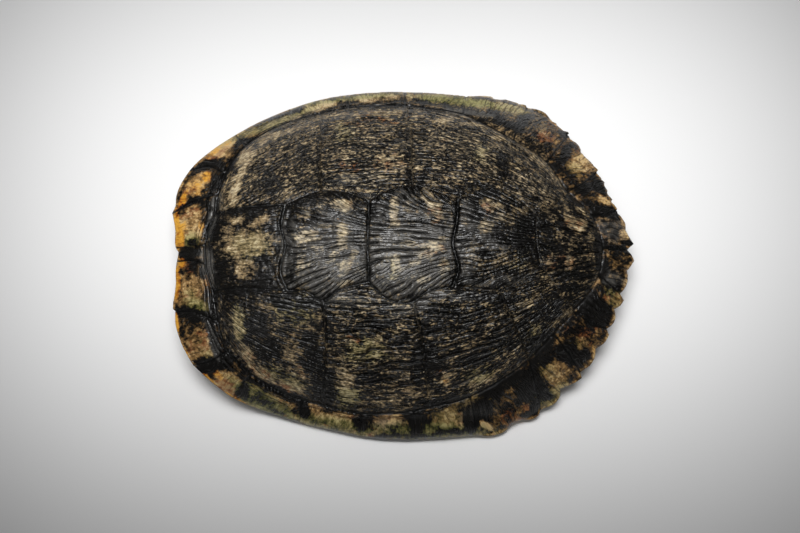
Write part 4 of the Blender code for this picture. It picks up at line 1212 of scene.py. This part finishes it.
def horn_paint(shell):
    """Dark horn with tan, olive, amber and rust marks broken up by fine lengthwise streaks."""
    paint = Paint("scute horn")
    tan, olive, amber, rust = paint.attribute("marks")
    grey_and_sheen, dark, groove, flecked = paint.attribute("relief")
    turn, finer, lift, strength = paint.attribute("folds")
    grain, place = paint.vector("grain"), paint.place()
    streaks = paint.noise(paint.stretched(grain, (0.32, 1.20, 0.0)), 1.0, 2.0, 0.6, 0.9)
    specks = paint.noise(place, 700.0, 1.0, 0.6)
    streak, speck = streaks - 0.5, specks - 0.5
    band = paint.noise(paint.stretched(grain, (0.13, 0.50, 0.0)), 1.0, 2.0, 0.5, 0.6) - 0.5
    hair = paint.noise(paint.stretched(grain, (0.6, 2.0, 0.0)), 1.0, 1.0, 0.6) - 0.5
    cloud = paint.noise(place, 170.0, 3.0, 0.6) - 0.5
    hue = paint.noise(place, 230.0, 2.0, 0.6) - 0.5
    coarse = turn.ridge() * (1.9 - strength * 0.5) + lift + hair * 0.5
    crest = coarse.least(finer.ridge() * 1.1 + 0.40 + streak * 1.2).step(0.0, 1.0)

    # How strongly the marks show: with soft edges on smooth horn, and as streaks on flecked horn.
    soft = cloud * 1.9 + band * 0.8 + streak * 0.9 + speck * 0.9
    hard = streak * 2.2 + hair * 0.9 + speck * 1.2 + band * 0.8 + cloud * 0.6
    field = soft * (1.0 - flecked) + hard * flecked * (1.55 - tan * 0.7)
    field = field + tan + olive * 0.35 + amber * 0.35 - dark * 0.9

    # Smooth horn at the edges, stains and tints, clear horn, and worn greyish horn that also carries
    # a painted sheen of the soft box.
    edges = (0.3 - flecked).step(0.0, 0.2)
    stain = (rust + hue * (edges * 1.4 + 1.6)).step(0.30, 0.85)
    cool = (hue * -4.0 - edges).step(0.1, 1.0) * 0.5
    warm = (hue * 4.0 - edges).step(0.1, 1.0) * 0.8
    clear = (amber + cloud * 1.3 + streak * 0.8).step(0.25, 0.90)
    smooth = (grey_and_sheen + cloud * 0.8 + band).step(0.25, 0.85)
    horn = paint.mix(smooth, shell.dark_horn[:], shell.grey_and_sheen_horn[:])
    brown = paint.layered(
        shell.brown_horn[:], (edges, EDGE_BROWN), (grey_and_sheen * 0.8, GREY_AND_SHEEN_BROWN), (olive, OLIVE_BROWN),
        (stain, RUST_BROWN), (clear, AMBER_BROWN))
    pale = paint.layered(
        shell.tan_horn[:], (edges, EDGE_TAN), (grey_and_sheen * 0.8, GREY_AND_SHEEN_TAN), (cool, COOL_TAN),
        (warm, WARM_TAN), (olive * 0.85, shell.olive_horn[:]), (stain, shell.rust_horn[:]),
        (clear, shell.amber_horn[:]))
    light = paint.layered(
        shell.light_horn[:], (edges, EDGE_LIGHT), (olive * 0.8, OLIVE_LIGHT),
        (stain * 0.7, RUST_LIGHT), (clear, AMBER_LIGHT))

    # Tiny light specks, mostly on the flecked horn.
    light_specks = paint.noise(place, 1500.0, 1.0, 0.5) + cloud * 0.3
    # Painted shade, partly dark dirt, in the cracks between the folds, and painted shade in the seam
    # grooves, weaker on olive horn.
    depth = (1.0 - crest).step(0.20, 0.85) * (strength * 1.3).least(1.0)
    shaded = groove * (1.0 - (olive * 0.5).least(0.5))
    colour = paint.layered(
        horn, (field.step(0.30, 0.60), brown), (field.step(0.50, 0.95), pale),
        (field.step(0.85, 1.30) * (1.0 - flecked * 0.3), light),
        (light_specks.step(0.70, 0.80) * (flecked * 0.6 + 0.1), shell.light_horn[:]),
        (depth * 0.95, CRACK_DIRT_AND_SHADE), (shaded.step(0.25, 0.9), CRACK_DIRT_AND_SHADE))
    paint.feed(paint.shader.inputs["Base Color"], colour)
    rough = 0.31 + speck * 0.2 + field.step(0.3, 0.9) * 0.14
    paint.feed(paint.shader.inputs["Roughness"], rough)
    folded = paint.bump(crest * strength, 0.9, 0.0007)
    fine = paint.bump(streaks * strength, 0.4, 0.0005, folded)
    paint.feed(paint.shader.inputs["Normal"], paint.bump(specks, 0.3, 0.0003, fine))
    paint.shader.inputs["IOR"].default_value = HORN_IOR
    return paint.material


def bone_paint(shell):
    """Cream bone with a fine open grain and darker joints."""
    paint = Paint("shell bone")
    joint = paint.attribute("relief")[2]
    place = paint.place()
    cloud = paint.noise(place, 45.0, 4.0, 0.6)
    pore = paint.noise(place, 700.0, 3.0, 0.6)
    colour = paint.layered(
        shell.bone[:], (cloud.step(0.3, 0.7), BONE_SHADE),
        (pore.step(0.55, 0.75) * 0.35, BONE_PORE), (joint * 0.8, BONE_JOINT))
    paint.feed(paint.shader.inputs["Base Color"], colour)
    paint.feed(paint.shader.inputs["Roughness"], 0.62 + pore * 0.25)
    paint.feed(paint.shader.inputs["Normal"], paint.bump(pore, 0.35, 0.0003))
    return paint.material


def store(mesh, name, columns):
    """Keeps up to four numbers for each point of the mesh as a colour attribute."""
    numbers = np.zeros((len(mesh.vertices), 4), np.float32)
    numbers[:, :len(columns)] = np.transpose(columns)
    layer = mesh.color_attributes.new(name, "FLOAT_COLOR", "POINT")
    layer.data.foreach_set("color", numbers.ravel())


def edge_rings(rim, inwards, inset, edge_top, edge_under, lift):
    """The rings of points round the edge, from the horn down to the bone."""
    rings = []
    for turn in EDGE_TURNS:
        quarter = turn * math.pi / 2
        place = rim + inwards * (inset * (1.0 - math.cos(quarter)))[:, None]
        drop = (edge_top - edge_under) * math.sin(quarter)
        place[:, 1] -= LIFT_SHIFT * lift * (1.0 - math.sin(quarter))
        rings.append(np.column_stack([place, edge_top - drop]))
    return rings


def belt_faces(first, count):
    """Triangles between each ring of count points and the next, which start at these points."""
    here = np.arange(count)
    after = (here + 1) % count
    belt = []
    for upper, lower in zip(first[:-1], first[1:]):
        belt.append(np.column_stack([upper + here, upper + after, lower + here]))
        belt.append(np.column_stack([upper + after, lower + after, lower + here]))
    return belt


def horn_columns(ground, folds):
    """The numbers that the horn's paint reads, for the places of the horn sheet."""
    return marks_on(ground) + [
        np.clip(ground.groove / DARKEST_GROOVE, 0.0, 1.0), ground.flecked, folds.turn,
        folds.finer, folds.lift, folds.strength, ground.along, ground.across]


def bone_columns(under):
    """The same numbers for the places of the bone sheet, where the horn has no folds."""
    flat = np.ones(len(under.x))
    return marks_on(under) + [
        bone_seams(under), under.flecked, 0.5 * flat, 0.5 * flat, flat, 0.0 * flat,
        under.along, under.across]


def build_carapace(shell):
    """The horn sheet above, the bone sheet below and the rounded edge that joins them."""
    gap, under_gap = shell.plan_gap, shell.under_gap
    rim = chipped(rim_outline(2.0 * gap))
    count = len(rim)
    seams = [snapped(smooth_path(points, 2.0 * gap), rim, 2.0 * gap) for _, points in SEAMS]
    loose = lattice(rim, 2.0 * gap, gap, seams, TOP_CLEARANCE * gap)
    plan, faces = plan_of(rim, seams, loose)
    ground = Ground(plan, rim)
    height, folds = horn_height(ground, shell.wrinkle_depth, shell.wrinkle_gap)
    edge_top, edge_under = rim_heights(rim)
    height[:count] = edge_top
    lift = edge_lift(ground.x, ground.y, ground.from_rim)
    height += lift
    plan[:, 1] -= LIFT_SHIFT * lift

    leave = ramp(np.abs(rim[:, 0]), BRIDGE_HALF_LENGTH, BRIDGE_RUN_OUT)
    inset = BRIDGE_FACE_WIDTH + (END_EDGE_INSET - BRIDGE_FACE_WIDTH) * leave
    inwards = -rim / np.hypot(rim[:, 0], rim[:, 1])[:, None]
    rings = edge_rings(rim, inwards, inset, height[:count], edge_under, lift[:count])

    under_rim = rim + inwards * inset[:, None]
    spine = [smooth_path(((SPINE_FRONT, y), (SPINE_REAR, y)), under_gap)
             for y in (0.0, SPINE_FOOT_HALF_WIDTH, -SPINE_FOOT_HALF_WIDTH)]
    band = under_rim * (1.0 - HORN_BAND / np.hypot(under_rim[:, 0], under_rim[:, 1]))[:, None]
    band = np.vstack([band, band[:1]])[::2]
    creases = spine + [band]
    under_loose = lattice(
        under_rim, under_gap, ROW_SHARE * under_gap, creases, UNDER_CLEARANCE * under_gap)
    under_plan, under_faces = plan_of(under_rim, creases, under_loose)
    under = Ground(under_plan, rim)
    below = under_height(under)
    below[:count] = edge_under
    middle = under_plan[under_faces].mean(1)
    is_bone = inside(middle[:, 0], middle[:, 1], band[:-1])
    is_bone |= np.abs(middle[:, 0]) < BRIDGE_HALF_LENGTH + BONE_PAST_BRIDGE

    sheets = [np.column_stack([plan, height])] + rings + [np.column_stack([under_plan, below])]
    first = np.cumsum([0] + [len(sheet) for sheet in sheets[:-1]])
    triangles = np.vstack(
        [faces] + belt_faces(first, count) + [under_faces[:, ::-1] + first[-1]])
    mesh = bpy.data.meshes.new("carapace_horn")
    mesh.from_pydata((np.vstack(sheets) * MM).tolist(), [], triangles.tolist())
    slots = np.zeros(len(triangles), np.int32)
    slots[-len(under_faces):] = is_bone
    mesh.materials.append(horn_paint(shell))
    mesh.materials.append(bone_paint(shell))
    mesh.polygons.foreach_set("material_index", slots)
    columns = [
        np.concatenate([upper, np.tile(upper[:count], len(rings)), lower])
        for upper, lower in zip(horn_columns(ground, folds), bone_columns(under))]
    for i, name in enumerate(("marks", "relief", "folds", "grain")):
        store(mesh, name, columns[4 * i:4 * i + 4])
    mesh.validate()
    mesh.shade_smooth()
    return bpy.data.objects.new("carapace_horn", mesh)


def facing(place, aim):
    """Stands a lamp or a camera at a place, facing the aim with its width along X."""
    back = (place - aim).normalized()
    right = Vector((0.0, 1.0, 0.0)).cross(back).normalized()
    turn = Matrix((right, back.cross(right), back)).transposed().to_4x4()
    return Matrix.Translation(place) @ turn


def add_soft_box(scene, name, power, size, spread, place, aim):
    """Adds a lamp that shines from a rectangle and that the camera doesn't see."""
    light = bpy.data.lights.new(name, "AREA")
    light.shape = "RECTANGLE"
    light.size, light.size_y = size
    light.spread = math.radians(spread)
    light.energy = power
    lamp = bpy.data.objects.new(name, light)
    lamp.visible_camera = False
    lamp.matrix_world = facing(Vector(place), Vector(aim))
    scene.collection.objects.link(lamp)


def size_setting(name, description, default, least, most):
    """A size in mm that the user can change."""
    return FloatProperty(
        name=name, description=description, default=default, min=least, max=most)


def power_setting(name, description, default):
    """A strength of light that the user can change."""
    return FloatProperty(name=name, description=description, default=default, min=0.0)


def colour_setting(name, description, *colour):
    """A colour that the user can change."""
    return FloatVectorProperty(
        name=name, description=description, subtype="COLOR", size=4, default=colour + (1.0,),
        min=0.0, max=1.0)


class ShellSettings(bpy.types.PropertyGroup):
    """Sizes and colours of the shell."""

    plan_gap: size_setting(
        "Top mesh gap", "Gap in mm between rows of points on the horn", 0.44, 0.3, 3.0)
    under_gap: size_setting(
        "Underside mesh gap", "Gap in mm between points on the bone", 1.9, 1.0, 6.0)
    wrinkle_depth: size_setting(
        "Wrinkle depth", "Depth in mm of the wrinkles in the horn", 0.95, 0.0, 2.0)
    wrinkle_gap: size_setting("Wrinkle gap", "Usual width in mm of a wrinkle", 2.3, 0.8, 4.0)
    dark_horn: colour_setting("Dark horn", "Ground colour of the horn", 0.0025, 0.0020, 0.0015)
    # Worn greyish horn, which also carries the painted sheen of the soft box on the top of the dome.
    grey_and_sheen_horn: colour_setting("Grey horn", "Worn smooth horn", 0.070, 0.066, 0.060)
    brown_horn: colour_setting("Brown horn", "Darker tone of the pale marks", 0.085, 0.063, 0.036)
    light_horn: colour_setting("Light horn", "Lightest tone of the pale marks", 0.64, 0.53, 0.34)
    tan_horn: colour_setting("Tan horn", "Usual tone of the pale marks", 0.275, 0.197, 0.10)
    olive_horn: colour_setting("Olive horn", "Greenish marks", 0.175, 0.155, 0.055)
    amber_horn: colour_setting("Amber horn", "Clear yellow horn at the edges", 0.52, 0.235, 0.022)
    rust_horn: colour_setting("Rust horn", "Reddish stains", 0.24, 0.10, 0.035)
    bone: colour_setting("Bone", "Bone of the underside", 0.64, 0.54, 0.39)


class StageSettings(bpy.types.PropertyGroup):
    """The table's colour and the strength of the light."""

    table_colour: colour_setting("Table", "Colour of the table top", 0.80, 0.80, 0.80)
    key_power: power_setting("Soft box", "Power of the soft box in watts", 0.45)
    low_power: power_setting("Low soft box", "Power of the lower soft box in watts", 0.02)
    fill_strength: power_setting("Room light", "Strength of the light from all round", 0.08)


class SHELL_OT_carapace(bpy.types.Operator):
    """Builds the shell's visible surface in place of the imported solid."""

    bl_idname = "turtle_shell.carapace"
    bl_label = "Carapace"

    def execute(self, context):
        piece = build_carapace(context.scene.turtle_shell)
        context.scene.collection.objects.link(piece)
        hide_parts("carapace")
        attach(piece, "root")
        return {"FINISHED"}


class SHELL_OT_stage(bpy.types.Operator):
    """Adds the table, the soft light and the camera."""

    bl_idname = "turtle_shell.stage"
    bl_label = "Table, light and camera"

    def execute(self, context):
        stage = context.scene.turtle_stage
        scene = context.scene
        table = bpy.data.meshes.new("table")
        half = TABLE_HALF_WIDTH
        corners = [(-half, -half, 0.0), (half, -half, 0.0), (half, half, 0.0), (-half, half, 0.0)]
        table.from_pydata(corners, [], [(0, 1, 2, 3)])
        piece = bpy.data.objects.new("table", table)
        piece.location.z = -TABLE_DROP
        paint = Paint("table")
        paint.shader.inputs["Base Color"].default_value = stage.table_colour[:]
        paint.shader.inputs["Roughness"].default_value = 0.6
        table.materials.append(paint.material)
        scene.collection.objects.link(piece)
        add_soft_box(scene, "soft box", stage.key_power, *SOFT_BOX)
        add_soft_box(scene, "low soft box", stage.low_power, *LOW_SOFT_BOX)

        room = bpy.data.worlds.new("room")
        room.use_nodes = True
        back = room.node_tree.nodes["Background"]
        back.inputs["Color"].default_value = (1.0, 1.0, 1.0, 1.0)
        back.inputs["Strength"].default_value = stage.fill_strength
        scene.world = room

        camera = bpy.data.cameras.new("camera")
        camera.lens, camera.sensor_width = CAMERA_LENS, CAMERA_SENSOR
        camera.sensor_fit = "HORIZONTAL"
        eye = bpy.data.objects.new("camera", camera)
        sine, cosine = math.sin(CAMERA_ELEVATION), math.cos(CAMERA_ELEVATION)
        aim = Vector((CAMERA_AIM[0], CAMERA_AIM[1], 0.0)) * MM
        place = aim + Vector((0.0, -cosine, sine)) * CAMERA_DISTANCE * MM
        eye.matrix_world = facing(place, aim) @ Matrix.Rotation(-CAMERA_ROLL, 4, "Z")
        scene.collection.objects.link(eye)
        scene.camera = eye
        scene.view_settings.view_transform = "Standard"
        return {"FINISHED"}


class SHELL_PT_panel(bpy.types.Panel):
    """Lists the steps that build the shell and its table."""

    bl_label = "Turtle shell"
    bl_idname = "SHELL_PT_panel"
    bl_space_type = "VIEW_3D"
    bl_region_type = "UI"
    bl_category = "Turtle shell"

    def draw(self, context):
        for settings, step in ((context.scene.turtle_shell, SHELL_OT_carapace),
                               (context.scene.turtle_stage, SHELL_OT_stage)):
            box = self.layout.box()
            for name in settings.__annotations__:
                box.prop(settings, name)
            box.operator(step.bl_idname)


CLASSES = (ShellSettings, StageSettings, SHELL_OT_carapace, SHELL_OT_stage, SHELL_PT_panel)


def register():
    for kind in CLASSES:
        bpy.utils.register_class(kind)
    bpy.types.Scene.turtle_shell = PointerProperty(type=ShellSettings)
    bpy.types.Scene.turtle_stage = PointerProperty(type=StageSettings)


def unregister():
    del bpy.types.Scene.turtle_stage
    del bpy.types.Scene.turtle_shell
    for kind in reversed(CLASSES):
        bpy.utils.unregister_class(kind)


def main():
    register()
    bpy.ops.turtle_shell.carapace()
    bpy.ops.turtle_shell.stage()


if __name__ == "__main__":
    main()
